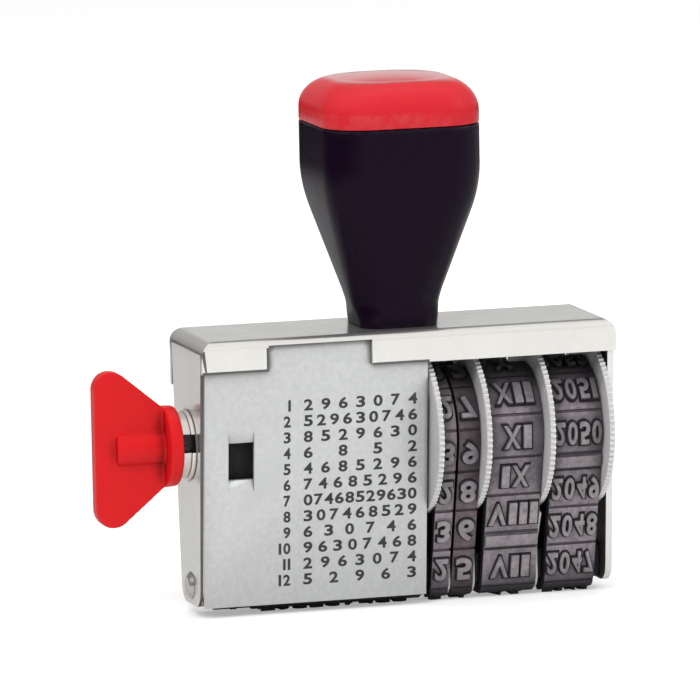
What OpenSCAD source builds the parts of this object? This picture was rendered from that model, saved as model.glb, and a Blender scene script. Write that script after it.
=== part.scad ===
// Hand date stamp: a folded sheet-metal frame under a moulded grip carries a printing bridge,
// a phrase band turned by a wing knob, and four date bands set by knurled thumb discs.
// X runs along the frame (+X is the date side), -Y is the front with the listed cover plate,
// +Z is up. The origin is the middle of the printing plane, below the grip.

/* [Frame] */
// Length over the outer faces of the end plates
frame_length = 60; // [52:0.5:90]
// Depth over the outer faces of the front and back flanges
frame_depth = 17.4; // [16:0.2:26]
// Height of the top face above the printing plane
frame_top = 39.4; // [36:0.2:60]
// Thickness of the frame sheet
sheet = 0.9; // [0.6:0.05:1.2]
// Height of the front flange, measured from the top face
flange_height = 4.5; // [3.5:0.1:6]
// Height of the back flange, measured from the top face
skirt_height = 8; // [6.5:0.1:8.4]
// Clearance of the notches that let the thumb discs pass the back flange
skirt_clearance = 0.25; // [0.2:0.05:0.6]
// Outer radius of the bends between the top and the end plates
end_bend = 2; // [1.4:0.1:3]
// Outer radius of the bends between the top and the flanges
flange_bend = 1.2; // [1.2:0.1:1.8]
// Relief slot between a flange and the end plate beside it
corner_relief = 0.2; // [0.1:0.05:0.4]
// Height of the end plates' feet above the printing plane
foot_height = 1.5; // [1:0.1:2]
// Corner radius of the feet
foot_radius = 2.6; // [1:0.1:3]
// Distance from the left end to the notch in the front flange
notch_start = 9.6; // [6:0.1:14]
// Width of that notch
notch_width = 14.9; // [8:0.1:18]

/* [Cover plate] */
// Thickness of the cover plate
cover_sheet = 0.6; // [0.4:0.05:0.8]
// Clearance between the cover plate and the type behind it
cover_clearance = 0.3; // [0.2:0.05:0.6]
// Gap at each side edge of the cover plate
cover_side_gap = 0.15; // [0.1:0.05:0.2]
// Width of the index window
window_width = 3.7; // [2.5:0.1:5]
// Height of the index window
window_height = 5.3; // [3:0.1:6]
// Distance from the end plate to the window
window_inset = 3.1; // [2.5:0.1:5]
// Distance from the axle line down to the window's middle
window_drop = 1.9; // [0:0.1:4]
// Length of the lips pressed inwards above and below the window
lip_length = 1.8; // [1:0.1:2.2]
// Depth to which the lips are pressed in
lip_depth = 0.55; // [0.3:0.05:0.7]

/* [Printing bridge] */
// Depth of the bridge bar that the bands turn round
bridge_depth = 4.4; // [3.6:0.1:6]
// Height of the bridge bar
bridge_height = 4.8; // [4.6:0.1:7]
// Radius of the bar's lower edges
bridge_edge = 0.9; // [0.5:0.1:1.2]
// Clearance between the bar and the inside of a band
bridge_clearance = 0.04; // [0.02:0.01:0.1]
// Diameter of the rivet shanks that hold the bar
rivet_shank = 2.2; // [1.6:0.1:2.6]
// Diameter of the rivet heads
rivet_head = 4; // [3:0.1:4.6]
// Height of the rivet heads
rivet_head_height = 0.6; // [0.4:0.05:1]
// Thickness of the guide plates between the bands
guide_sheet = 0.3; // [0.2:0.05:0.35]
// Height of the guide plates
guide_height = 7.4; // [7:0.1:9]
// Rounding of the guide plates' lower corners
guide_corner = 2.2; // [0.9:0.1:2.4]
// Thickness of the stays that stand on the bar inside the day bands
stay_sheet = 0.9; // [0.6:0.1:1.4]

/* [Axle] */
// Diameter of the shaft
shaft_diameter = 3; // [2.4:0.1:4]
// Radial clearance of turning pieces on the shaft
running_clearance = 0.05; // [0.02:0.01:0.08]
// Radial clearance of pieces that are pressed together
seat_clearance = 0.02; // [0.01:0.01:0.04]
// Clearance between the thumb discs and the screw head above them
rim_clearance = 0.5; // [0.3:0.1:2]
// Space along the shaft between two wheels
wheel_gap = 0.36; // [0.36:0.02:0.8]
// Thickness of the washers in those spaces
washer_sheet = 0.24; // [0.15:0.01:0.3]
// Diameter of those washers
washer_diameter = 5.4; // [4.8:0.1:7]
// Clearance along the shaft between turning faces
face_clearance = 0.08; // [0.05:0.01:0.15]

/* [Thumb discs] */
// Diameter over the teeth of a thumb disc
disc_diameter = 23.6; // [21.6:0.2:26]
// Thickness of a thumb disc
disc_sheet = 0.8; // [0.6:0.05:1.2]
// Number of teeth round a thumb disc
disc_teeth = 90; // [40:1:100]
// Depth of the teeth
tooth_depth = 0.25; // [0.2:0.05:0.5]
// Diameter of the spigot that carries a disc on its drum
spigot_diameter = 8; // [6:0.1:10]

/* [Bands] */
// Diameter of the drums that carry the date bands
drum_diameter = 14.6; // [12:0.2:16]
// Diameter of the drum that carries the phrase band
phrase_drum_diameter = 6.4; // [5.6:0.1:7]
// Clearance between a drum and its band
band_clearance = 0.25; // [0.15:0.05:0.4]
// Clearance between a band's edge and the disc beside it
band_side_gap = 0.1; // [0.08:0.02:0.2]
// Thickness of a band between its type blocks
band_thickness = 1; // [0.7:0.05:1.2]
// Height of the type blocks above the band
type_raise = 0.7; // [0.4:0.05:0.9]
// Height of a date type block along the band
type_size = 3.6; // [2.6:0.1:4]
// Height of a phrase type block along the band
phrase_size = 3; // [2.4:0.1:3.4]
// Bare margin beside the type
type_margin = 0.2; // [0.1:0.05:0.3]
// Number of settings round each date band
settings = 13; // [10:1:14]
// Number of settings round the phrase band
phrase_settings = 12; // [10:1:14]
// Width of the band with the tens of the day
day_tens_width = 2.4; // [2.4:0.1:4]
// Width of the band with the units of the day
day_units_width = 3; // [2.4:0.1:4]
// Width of the month band
month_width = 7.9; // [6:0.1:10]
// Width of the year band
year_width = 7.3; // [6:0.1:10]
// Space between the left end plate and the phrase band
phrase_inset = 1.9; // [1:0.1:2.4]
// Width of the index strip beside the phrases
index_strip = 2.4; // [1.5:0.1:4]

/* [Knob] */
// Length of the wing beyond the collar
wing_length = 9.8; // [8:0.2:14]
// Height of the wing where it leaves the collar
wing_root = 11.2; // [8:0.2:12]
// Slope of the wing's upper and lower edges
wing_slope = 40; // [30:1:48]
// Corner radius of the wing
wing_corner = 2.5; // [1.5:0.1:3]
// Thickness of the wing
wing_thickness = 2.4; // [1.8:0.1:4]
// Diameter of the rib along the wing's middle
hub_diameter = 5.2; // [4.6:0.1:8]
// Distance from the rib's end to the wing's outer edge
hub_setback = 2.9; // [1.5:0.1:4]
// Diameter of the knob's collar
knob_collar = 11.3; // [9:0.1:14]
// Thickness of the knob's collar
knob_collar_sheet = 1.9; // [1.2:0.1:3]
// Depth of the shaft's end in the knob
knob_grip = 6; // [4:0.1:8]
// Diameter of the bush flange on the left end plate
bush_flange = 9.8; // [7:0.1:11]
// Thickness of the bush flange
bush_flange_sheet = 0.6; // [0.5:0.1:1.5]
// Diameter of the bushes where they pass through the end plates
bush_spigot = 5.2; // [4.8:0.1:6]
// Diameter of the thrust collar on the shaft
thrust_diameter = 9.2; // [7:0.1:10]
// Thickness of the thrust collar
thrust_sheet = 1.1; // [1:0.1:2]
// Diameter of the set screw in the thrust collar
set_screw = 0.8; // [0.6:0.1:0.9]
// Diameter of the pin that fixes the phrase drum
pin_diameter = 1.2; // [0.8:0.1:1.5]

/* [Handle] */
// Width of the square grip
grip_width = 22.6; // [18:0.2:30]
// Corner radius of the grip
grip_corner = 6; // [4:0.2:7]
// Width of the neck that stands on the frame
neck_width = 11; // [9.6:0.2:14]
// Corner radius of the neck
neck_corner = 2.8; // [1:0.1:3]
// Height of the straight neck
neck_height = 0.6; // [0.4:0.1:4]
// Height at which the taper meets the straight grip
shoulder_height = 19.6; // [16:0.2:24]
// Height of the grip up to the cap
grip_height = 28.5; // [27:0.1:40]
// Height of the cap
cap_height = 6.7; // [4:0.1:8]
// Rounding of the cap's edge, sideways
cap_round = 4.2; // [2:0.1:5]
// Rise of the crown in the middle of the cap
cap_crown = 0.5; // [0.2:0.1:1]
// Width of the square plug below the cap
plug_width = 11; // [8:0.2:14]
// Corner radius of that plug
plug_corner = 2; // [1:0.1:3]
// Depth of the plug in the grip
plug_depth = 3; // [2:0.1:4]
// Diameter of the handle screw
screw_diameter = 4; // [3:0.1:5]
// Depth of the screw in the grip
screw_reach = 12; // [8:0.2:16]
// Diameter of the screw head
screw_head = 7; // [6:0.1:8]
// Height of the screw head
screw_head_height = 1.6; // [1:0.1:2]
// Diameter of the washer under the screw head
handle_washer_diameter = 9; // [8:0.1:11]
// Thickness of that washer
handle_washer_sheet = 0.6; // [0.4:0.05:1]

/* [Hidden] */
$fn = 64;
// Overlap that lets a cut pass cleanly through a face
cut = 1;
// Steps in a rounded corner and along a band's turn
corner_steps = 6;
turn_steps = 28;
// Rings along the grip and points in each corner of a ring
grip_rings = 22;
ring_steps = 8;
// Smoothing of the two ends of the grip's taper
shoulder_blend = 0.18;
neck_blend = 0.08;
// Largest corner radius of the grip as a share of its width, and the neck heights over which it is reached
round_share = 0.44;
round_rise = 5;
// Share of the cap's height that its rounded edge takes up
cap_side = 0.7;
// Share of the band's thickness that a type block is rooted in
type_root = 0.5;

nickel = [0.80, 0.80, 0.78];
steel = [0.62, 0.63, 0.65];
rubber = [0.30, 0.29, 0.31];
black = [0.10, 0.09, 0.12];
red = [0.84, 0.12, 0.14];
nylon = [0.22, 0.22, 0.24];

half_length = frame_length / 2;
half_depth = frame_depth / 2;
inner_length = half_length - sheet;
inner_depth = half_depth - sheet;
flange_foot = frame_top - flange_height;
skirt_foot = frame_top - skirt_height;

// The axle hangs below the screw head by one disc radius
disc_radius = disc_diameter / 2;
axle_z = frame_top - sheet - handle_washer_sheet - screw_head_height - rim_clearance - disc_radius;
shaft_r = shaft_diameter / 2;
running_r = shaft_r + running_clearance;
seat_r = shaft_r + seat_clearance;

// The bridge bar lies above the type that prints
edge_y = bridge_depth / 2 - bridge_edge;
edge_z = type_raise + band_thickness + bridge_edge;
bar_bottom = type_raise + band_thickness + bridge_clearance;
bar_top = bar_bottom + bridge_height;
rivet_z = bar_bottom + bridge_height / 2;

// The foot of the cover plate clears the phrase type
foot_half = bridge_depth / 2 + band_thickness + type_raise + cover_clearance + cover_sheet;
end_half = inner_depth - corner_relief;

// Places along the shaft, from the right end plate to the left
year_disc_x = inner_length - wheel_gap - disc_sheet;
year_x = year_disc_x - band_side_gap - year_width;
month_disc_x = year_x - band_side_gap - wheel_gap - disc_sheet;
month_x = month_disc_x - band_side_gap - month_width;
units_disc_x = month_x - band_side_gap - wheel_gap - disc_sheet;
units_x = units_disc_x - band_side_gap - day_units_width;
tens_x = units_x - 2 * band_side_gap - wheel_gap - day_tens_width;
tens_disc_x = tens_x - band_side_gap - disc_sheet;
phrase_right = tens_disc_x - wheel_gap - band_side_gap;
phrase_x = -inner_length + phrase_inset;
phrase_width = phrase_right - phrase_x;
cover_x = -inner_length + cover_side_gap;
cover_right = tens_disc_x - 2 * cover_side_gap;

// Places of the pieces between the left end plate and the knob
thrust_x = -half_length - bush_flange_sheet - face_clearance - thrust_sheet;
knob_x = thrust_x - face_clearance;
shaft_left = knob_x - knob_grip;
ring_sheet = bush_flange_sheet / 2;
ring_x = half_length + ring_sheet + face_clearance;
shaft_right = ring_x + 2 * ring_sheet;

// Points on an arc
function arc(centre, radius, from, to, steps) =
    [for (i = [0:steps]) centre + radius * [cos(from + (to - from) * i / steps), sin(from + (to - from) * i / steps)]];

function unit(v) = v / norm(v);

// Arc that rounds the corner at b of the path a, b, c
function rounded_corner(a, b, c, radius) =
    let (
        u = unit(a - b),
        v = unit(c - b),
        half = acos(u * v) / 2,
        centre = b + unit(u + v) * radius / sin(half),
        start = centre - unit(u + v) * radius,
        middle = atan2(start[1] - centre[1], start[0] - centre[0]),
        side = u[0] * v[1] - u[1] * v[0] < 0 ? 1 : -1,
        sweep = side * (90 - half)
    )
    radius <= 0 ? [b] : arc(centre, radius, middle - sweep, middle + sweep, corner_steps);

// Closed outline whose corners have the given radii
function rounded_outline(points, radii) =
    let (n = len(points))
    [for (i = [0:n - 1]) each rounded_corner(points[(i + n - 1) % n], points[i], points[(i + 1) % n], radii[i])];

// Lays an outline drawn in Y and Z along X, from one place for a length
module along_x(from, length)
    translate([from, 0, 0]) rotate([90, 0, 90]) linear_extrude(length) children();

// Round bar along X at the axle, from one place for a length
module round_x(from, length, radius, z = axle_z)
    translate([from, 0, z]) rotate([0, 90, 0]) cylinder(h = length, r = radius);

// Block given by its lowest and highest corners
module block(low, high)
    translate(low) cube(high - low);

// Block whose two upper edges along Y are rounded
module end_rounded(half, depth, low, top, radius)
    rotate([90, 0, 0]) translate([0, 0, -depth / 2]) linear_extrude(depth)
        polygon(rounded_outline([[-half, low], [half, low], [half, top], [-half, top]], [0, 0, radius, radius]));

// Outline whose two upper edges along X are rounded
module flange_rounded(half, low, top, radius)
    polygon(rounded_outline([[-half, low], [half, low], [half, top], [-half, top]], [0, 0, radius, radius]));

// Shallow box of the folded top, closed above and open below, and deeper at the back
module frame_cap()
    difference() {
        intersection() {
            end_rounded(half_length, frame_depth, skirt_foot, frame_top, end_bend);
            along_x(-half_length, frame_length) flange_rounded(half_depth, skirt_foot, frame_top, flange_bend);
        }
        intersection() {
            end_rounded(inner_length, frame_depth, skirt_foot - cut, frame_top - sheet, end_bend - sheet);
            along_x(-half_length, frame_length)
                flange_rounded(inner_depth, skirt_foot - cut, frame_top - sheet, flange_bend - sheet);
        }
        for (side = [-1, 1])
            mirror([0, side > 0 ? 1 : 0, 0])
                for (end = [-half_length - cut, inner_length])
                    block([end, -inner_depth, skirt_foot - cut],
                        [end + sheet + cut, -end_half, frame_top - end_bend]);
        block([-half_length - cut, -half_depth - cut, skirt_foot - cut], [half_length + cut, end_half, flange_foot]);
        skirt_notches();
    }

// Notches in the back flange where the thumb discs pass it
module skirt_notches() {
    notch_top = axle_z + sqrt(disc_radius * disc_radius - inner_depth * inner_depth) + skirt_clearance;
    for (x = [tens_disc_x, units_disc_x, month_disc_x, year_disc_x])
        block([x - skirt_clearance, 0, skirt_foot - cut],
            [x + disc_sheet + skirt_clearance, half_depth + cut, notch_top]);
}

// End plate that narrows towards its rounded foot
module end_plate(from)
    along_x(from, sheet)
        polygon(rounded_outline([[-foot_half, foot_height], [foot_half, foot_height],
            [end_half, flange_foot + flange_height / 4], [-end_half, flange_foot + flange_height / 4]],
            [foot_radius, foot_radius, 0, 0]));

module frame()
    color(nickel) difference() {
        union() {
            frame_cap();
            end_plate(-half_length);
            end_plate(inner_length);
        }
        block([-half_length + notch_start, -half_depth - cut, flange_foot - cut],
            [-half_length + notch_start + notch_width, -inner_depth + corner_relief, frame_top - sheet]);
        translate([0, 0, frame_top - sheet - cut])
            cylinder(h = sheet + 2 * cut, r = screw_diameter / 2 + running_clearance);
        for (end = [-half_length, inner_length]) {
            round_x(end - cut, sheet + 2 * cut, bush_spigot / 2 + seat_clearance);
            round_x(end - cut, sheet + 2 * cut, rivet_shank / 2 + seat_clearance, rivet_z);
        }
    }

// Slope of the cover plate, from the flange down to the foot
cover_drop = flange_foot - foot_height;
cover_lean = atan((inner_depth - foot_half) / cover_drop);

// Cover plate in section: upright behind the flange, then leaning back to the foot
module cover_section()
    polygon([[-inner_depth, frame_top - sheet], [-inner_depth, flange_foot], [-foot_half, foot_height],
        [-foot_half + cover_sheet, foot_height], [-inner_depth + cover_sheet, flange_foot],
        [-inner_depth + cover_sheet, frame_top - sheet]]);

// Puts a piece on the leaning face: Y is 0 on the outer face and Z is 0 at the window's middle
module on_cover_face(z)
    translate([0, -inner_depth + (flange_foot - z) * tan(cover_lean), z])
        rotate([cover_lean, 0, 0]) children();

module cover_plate() {
    window_x = -inner_length + window_inset;
    window_z = axle_z - window_drop;
    reach = window_height / 2 + lip_length;
    root = reach + cover_sheet / 2;
    color(nickel) {
        difference() {
            along_x(cover_x, cover_right - cover_x) cover_section();
            on_cover_face(window_z)
                block([window_x, -cut, -reach], [window_x + window_width, cover_sheet + cut, reach]);
        }
        on_cover_face(window_z)
            along_x(window_x, window_width)
                for (side = [-1, 1])
                    polygon([[0, side * reach], [cover_sheet / 4, side * root], [cover_sheet * 3 / 4, side * root],
                        [cover_sheet, side * reach], [cover_sheet + lip_depth, side * window_height / 2],
                        [lip_depth, side * window_height / 2]]);
    }
}

// Section of the bridge bar, grown on every side
module bar_section(grow)
    polygon(rounded_outline(
        [[-bridge_depth / 2 + bridge_clearance - grow, bar_bottom - grow],
            [bridge_depth / 2 - bridge_clearance + grow, bar_bottom - grow],
            [bridge_depth / 2 - bridge_clearance + grow, bar_top + grow],
            [-bridge_depth / 2 + bridge_clearance - grow, bar_top + grow]],
        [bridge_edge, bridge_edge, bridge_edge / 2, bridge_edge / 2]));

module bridge_bar()
    color(steel) difference() {
        along_x(-inner_length, 2 * inner_length) bar_section(0);
        for (end = [-inner_length - cut, inner_length - rivet_reach])
            round_x(end, rivet_reach + cut, rivet_shank / 2 + seat_clearance, rivet_z);
    }

// Depth of the rivet shanks in the bar
rivet_reach = 4;

module bridge_rivets()
    color(nickel) for (side = [0, 1])
        mirror([side, 0, 0]) {
            round_x(inner_length - rivet_reach, rivet_reach + sheet + rivet_head_height / 2, rivet_shank / 2, rivet_z);
            translate([half_length, 0, rivet_z]) rotate([0, 90, 0])
                cylinder(h = rivet_head_height, r1 = rivet_head / 2, r2 = rivet_head / 3);
        }

// Left faces of the guide plates, each just beyond the right edge of a band
guide_places = [for (x = [phrase_right, tens_x + day_tens_width, units_x + day_units_width, month_x + month_width])
    x + band_side_gap];

module band_guides() {
    guide_half = bridge_depth / 2 + band_thickness + type_raise / 4;
    low = type_raise;
    color(nickel) for (x = guide_places)
        along_x(x, guide_sheet) difference() {
            polygon(rounded_outline([[-guide_half, low], [guide_half, low],
                [guide_half, low + guide_height], [-guide_half, low + guide_height]],
                [guide_corner, guide_corner, bridge_edge, bridge_edge]));
            bar_section(seat_clearance);
            translate([-bridge_depth / 2, bar_top - bridge_edge]) square([bridge_depth, guide_height]);
        }
}

// Upright stays on the bar, one inside each narrow day band, up to just below its drum
module band_stays() {
    top = axle_z - drum_diameter / 2 - 2 * rim_clearance;
    color(steel) for (place = [[tens_x, day_tens_width], [units_x, day_units_width]])
        along_x(place[0] + type_margin, place[1] - 2 * type_margin)
            polygon(rounded_outline([[-stay_sheet / 2, bar_top], [stay_sheet / 2, bar_top], [stay_sheet / 2, top],
                [-stay_sheet / 2, top]], [0, 0, stay_sheet / 4, stay_sheet / 4]));
}

// Smaller and larger of two values, with the corner between them rounded off
function smooth_min(a, b, k) = min(a, b) - pow(max(k - abs(a - b), 0), 2) / (4 * k);
function smooth_max(a, b, k) = -smooth_min(-a, -b, k);

// Share of the way from the neck to the full grip at a height above the frame
function grip_share(h) =
    smooth_min(smooth_max((h - neck_height) / (shoulder_height - neck_height), 0, neck_blend), 1, shoulder_blend);

// Width of the grip at a height above the frame
function grip_span(h) = neck_width + (grip_width - neck_width) * grip_share(h);

// Corner radius there: square at the neck, then as round as the full grip, so the flats end in a point
function grip_round(h, width) =
    let (
        full = min(grip_corner, round_share * width),
        turn = max(0, min(1, (h - neck_height) / (round_rise * neck_height)))
    )
    neck_corner + (full - neck_corner) * turn * turn * (3 - 2 * turn);

// Ring of points round a square with rounded corners
function square_ring(width, radius, z) =
    [for (i = [0:3], j = [0:ring_steps])
        let (
            a = 90 * i + 90 * j / ring_steps,
            c = width / 2 - radius,
            q = 90 * i + 45
        )
        [sqrt(2) * c * cos(q) + radius * cos(a), sqrt(2) * c * sin(q) + radius * sin(a), z]];

// Solid through a stack of rings, closed at both ends
module loft(rings) {
    n = len(rings[0]);
    last = len(rings) - 1;
    polyhedron(
        points = [for (ring = rings) each ring],
        faces = concat(
            [[for (i = [n - 1:-1:0]) i]],
            [for (k = [0:last - 1], i = [0:n - 1])
                each [[k * n + i, k * n + (i + 1) % n, (k + 1) * n + (i + 1) % n],
                    [k * n + i, (k + 1) * n + (i + 1) % n, (k + 1) * n + i]]],
            [[for (i = [0:n - 1]) last * n + i]]));
}

module handle()
    color(black) difference() {
        loft([for (i = [0:grip_rings])
            let (
                h = grip_height * i / grip_rings,
                width = grip_span(h)
            )
            square_ring(width, grip_round(h, width), frame_top + h)]);
        translate([0, 0, frame_top - cut])
            cylinder(h = screw_reach + cut, r = screw_diameter / 2 + seat_clearance);
        translate([0, 0, frame_top + grip_height - plug_depth - seat_clearance])
            linear_extrude(plug_depth + cut)
                polygon([for (p = square_ring(plug_width + 2 * seat_clearance, plug_corner, 0)) [p[0], p[1]]]);
    }

module handle_cap() {
    rise = cap_height - cap_crown;
    edge = rise * cap_side;
    steps = 7;
    seam = frame_top + grip_height;
    color(red)
        loft(concat(
            [square_ring(plug_width, plug_corner, seam - plug_depth), square_ring(plug_width, plug_corner, seam)],
            [square_ring(grip_width, grip_corner, seam)],
            [for (i = [0:steps])
                let (
                    a = 90 * i / steps,
                    inset = cap_round * (1 - cos(a))
                )
                square_ring(grip_width - 2 * inset, grip_corner, seam + rise - edge + edge * sin(a))],
            [for (share = [0.6, 0.2])
                square_ring((grip_width - 2 * cap_round) * share, grip_corner * share,
                    seam + rise + cap_crown * (share < 0.5 ? 1 : 0.7))]));
}

module handle_screw()
    color(steel) {
        low = frame_top - sheet - handle_washer_sheet;
        translate([0, 0, low - screw_head_height]) cylinder(h = screw_head_height, r = screw_head / 2);
        translate([0, 0, low - screw_head_height / 2])
            cylinder(h = screw_head_height / 2 + handle_washer_sheet + sheet + screw_reach, r = screw_diameter / 2);
    }

module handle_washer()
    color(steel) translate([0, 0, frame_top - sheet - handle_washer_sheet]) difference() {
        cylinder(h = handle_washer_sheet, r = handle_washer_diameter / 2);
        translate([0, 0, -cut])
            cylinder(h = handle_washer_sheet + 2 * cut, r = screw_diameter / 2 + running_clearance);
    }

// Bush for the right-hand end: flange outside the end plate, spigot through it
module bush(flange_diameter, flange_sheet)
    difference() {
        union() {
            round_x(half_length, flange_sheet, flange_diameter / 2);
            round_x(inner_length, sheet + flange_sheet / 2, bush_spigot / 2);
        }
        round_x(inner_length - cut, sheet + flange_sheet + 2 * cut, running_r);
    }

module knob_bush()
    color(nickel) mirror([1, 0, 0]) bush(bush_flange, bush_flange_sheet);

module shaft_bush()
    color(nickel) bush(bush_spigot + 2 * sheet, ring_sheet);

module drive_shaft()
    color(steel) difference() {
        round_x(shaft_left, shaft_right - shaft_left, shaft_r);
        translate([phrase_x + phrase_width / 2, 0, axle_z])
            cylinder(h = 2 * phrase_drum_diameter, r = pin_diameter / 2 + seat_clearance, center = true);
    }

module knob() {
    wing_x = knob_x - knob_collar_sheet - wing_length;
    collar_left = knob_x - knob_collar_sheet;
    tip = wing_root / 2 + wing_length * tan(wing_slope);
    color(red) difference() {
        union() {
            round_x(collar_left, knob_collar_sheet, knob_collar / 2);
            round_x(wing_x + hub_setback, wing_length - hub_setback + knob_collar_sheet / 2, hub_diameter / 2);
            translate([0, wing_thickness / 2, axle_z]) rotate([90, 0, 0]) linear_extrude(wing_thickness)
                polygon(rounded_outline([[wing_x, -tip], [collar_left, -wing_root / 2],
                    [collar_left + knob_collar_sheet / 2, -wing_root / 2],
                    [collar_left + knob_collar_sheet / 2, wing_root / 2],
                    [collar_left, wing_root / 2], [wing_x, tip]],
                    [wing_corner, 0, 0, 0, 0, wing_corner]));
        }
        round_x(shaft_left - seat_clearance, knob_grip + cut, seat_r);
    }
}

module thrust_collar()
    color(nickel) difference() {
        round_x(thrust_x, thrust_sheet, thrust_diameter / 2);
        round_x(thrust_x - cut, thrust_sheet + 2 * cut, seat_r);
        collar_hole(set_screw / 2 + seat_clearance, thrust_diameter / 2 + cut);
    }

// Radial bar from the shaft out to the front of the thrust collar
module collar_hole(radius, reach)
    translate([thrust_x + thrust_sheet / 2, -seat_r - seat_clearance, axle_z]) rotate([90, 0, 0])
        cylinder(h = reach - seat_r - seat_clearance, r = radius);

module collar_screw()
    color(steel) collar_hole(set_screw / 2, thrust_diameter / 2 - set_screw);

module phrase_drum()
    color(nylon) difference() {
        round_x(phrase_x, phrase_width, phrase_drum_diameter / 2);
        round_x(phrase_x - cut, phrase_width + 2 * cut, seat_r);
        translate([phrase_x + phrase_width / 2, 0, axle_z])
            cylinder(h = 2 * phrase_drum_diameter, r = pin_diameter / 2 + seat_clearance, center = true);
    }

module drum_pin()
    color(steel) translate([phrase_x + phrase_width / 2, 0, axle_z])
        cylinder(h = phrase_drum_diameter - band_clearance, r = pin_diameter / 2, center = true);

module retaining_ring()
    color(steel) difference() {
        round_x(ring_x, ring_sheet, bush_spigot / 2);
        round_x(ring_x - cut, ring_sheet + 2 * cut, seat_r);
        block([ring_x - cut, -shaft_r / 2, axle_z], [ring_x + ring_sheet + cut, shaft_r / 2, axle_z + bush_spigot]);
    }

// Right-hand faces of the pieces that have a washer on their right
washer_places = [phrase_right + band_side_gap, tens_x + day_tens_width + band_side_gap,
    units_disc_x + disc_sheet, month_disc_x + disc_sheet, year_disc_x + disc_sheet];

module wheel_washers()
    color(steel) for (x = washer_places)
        difference() {
            round_x(x + (wheel_gap - washer_sheet) / 2, washer_sheet, washer_diameter / 2);
            round_x(x, wheel_gap, seat_r);
        }

// Round of a band over its drum and the bridge: angle of the outward normal on its front straight,
// measured below the level
function band_angle(drum_r) =
    let (d = [edge_y, edge_z - axle_z])
    asin((drum_r - bridge_edge) / norm(d)) - atan2(edge_y, axle_z - edge_z);

function band_straight(drum_r) =
    sqrt(pow(norm([edge_y, edge_z - axle_z]), 2) - pow(drum_r - bridge_edge, 2));

// Outline of a band's loop, a distance outside its inner face
function band_outline(drum_r, grow) =
    let (dip = band_angle(drum_r))
    concat(arc([0, axle_z], drum_r + grow, -dip, 180 + dip, turn_steps),
        arc([-edge_y, edge_z], bridge_edge + grow, 180 + dip, 270, corner_steps),
        arc([edge_y, edge_z], bridge_edge + grow, 270, 360 - dip, corner_steps));

// Lengths of the stretches of half a loop at its mid-thickness: flat, edge, straight, drum
function band_stretches(drum_r) =
    let (
        dip = band_angle(drum_r),
        mid = band_thickness / 2
    )
    [edge_y, (bridge_edge + mid) * (90 - dip) * PI / 180, band_straight(drum_r),
        (drum_r + mid) * (90 + dip) * PI / 180];

function total(list, upto) = upto < 0 ? 0 : list[upto] + total(list, upto - 1);

// Place and outward angle on the inner face, a length s along the loop from the middle of the bottom
function band_place(drum_r, s) =
    let (
        parts = band_stretches(drum_r),
        dip = band_angle(drum_r),
        mid = band_thickness / 2,
        s1 = parts[0],
        s2 = total(parts, 1),
        s3 = total(parts, 2)
    )
    s <= s1 ? [[s, edge_z - bridge_edge], -90]
    : s <= s2 ? let (a = -90 + (s - s1) / (bridge_edge + mid) * 180 / PI)
        [[edge_y, edge_z] + bridge_edge * [cos(a), sin(a)], a]
    : s <= s3 ? [[edge_y, edge_z] + bridge_edge * [cos(dip), -sin(dip)] + (s - s2) * [sin(dip), cos(dip)], -dip]
    : let (a = -dip + (s - s3) / (drum_r + mid) * 180 / PI)
        [[0, axle_z] + drum_r * [cos(a), sin(a)], a];

// Type blocks round a loop, one at each setting, the first on the printing plane
module type_blocks(drum_r, size, count) {
    pitch = 2 * total(band_stretches(drum_r), 3) / count;
    for (i = [0:count - 1]) {
        back = i > count / 2;
        place = band_place(drum_r, pitch * (back ? count - i : i));
        mirror([back ? 1 : 0, 0]) translate(place[0]) rotate(place[1])
            translate([band_thickness * (1 - type_root), -size / 2])
                square([band_thickness * type_root + type_raise, size]);
    }
}

// Endless band with raised type
module band(from, width, drum_d, size, count = settings, strip = 0) {
    drum_r = drum_d / 2 + band_clearance;
    color(rubber) {
        along_x(from, width) difference() {
            polygon(band_outline(drum_r, band_thickness));
            polygon(band_outline(drum_r, 0));
        }
        along_x(from + type_margin + strip, width - 2 * type_margin - strip)
            type_blocks(drum_r, size, count);
    }
}

module phrase_band()
    band(phrase_x, phrase_width, phrase_drum_diameter, phrase_size, phrase_settings, index_strip);
module day_tens_band() band(tens_x, day_tens_width, drum_diameter, type_size);
module day_units_band() band(units_x, day_units_width, drum_diameter, type_size);
module month_band() band(month_x, month_width, drum_diameter, type_size);
module year_band() band(year_x, year_width, drum_diameter, type_size);

// Thumb disc with a toothed edge
module thumb_disc(from) {
    tooth = 360 / disc_teeth;
    color(nickel) difference() {
        along_x(from, disc_sheet) translate([0, axle_z])
            polygon([for (i = [0:disc_teeth - 1])
                each [for (p = [[0, 0], [0.22, 1], [0.5, 1], [0.72, 0]])
                    (disc_radius - tooth_depth * (1 - p[1])) * [cos((i + p[0]) * tooth), sin((i + p[0]) * tooth)]]]);
        round_x(from - cut, disc_sheet + 2 * cut, spigot_diameter / 2 + seat_clearance);
    }
}

// Drum with a spigot for its disc on the right (1) or on the left (-1)
module wheel_drum(from, width, side)
    color(nylon) difference() {
        union() {
            round_x(from - band_side_gap, width + 2 * band_side_gap, drum_diameter / 2);
            round_x(side > 0 ? from : from - band_side_gap - disc_sheet,
                width + band_side_gap + disc_sheet, spigot_diameter / 2);
        }
        round_x(from - disc_sheet - cut, width + 2 * (disc_sheet + cut), running_r);
    }

module day_tens_disc() thumb_disc(tens_disc_x);
module day_units_disc() thumb_disc(units_disc_x);
module month_disc() thumb_disc(month_disc_x);
module year_disc() thumb_disc(year_disc_x);
module day_tens_drum() wheel_drum(tens_x, day_tens_width, -1);
module day_units_drum() wheel_drum(units_x, day_units_width, 1);
module month_drum() wheel_drum(month_x, month_width, 1);
module year_drum() wheel_drum(year_x, year_width, 1);

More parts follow.
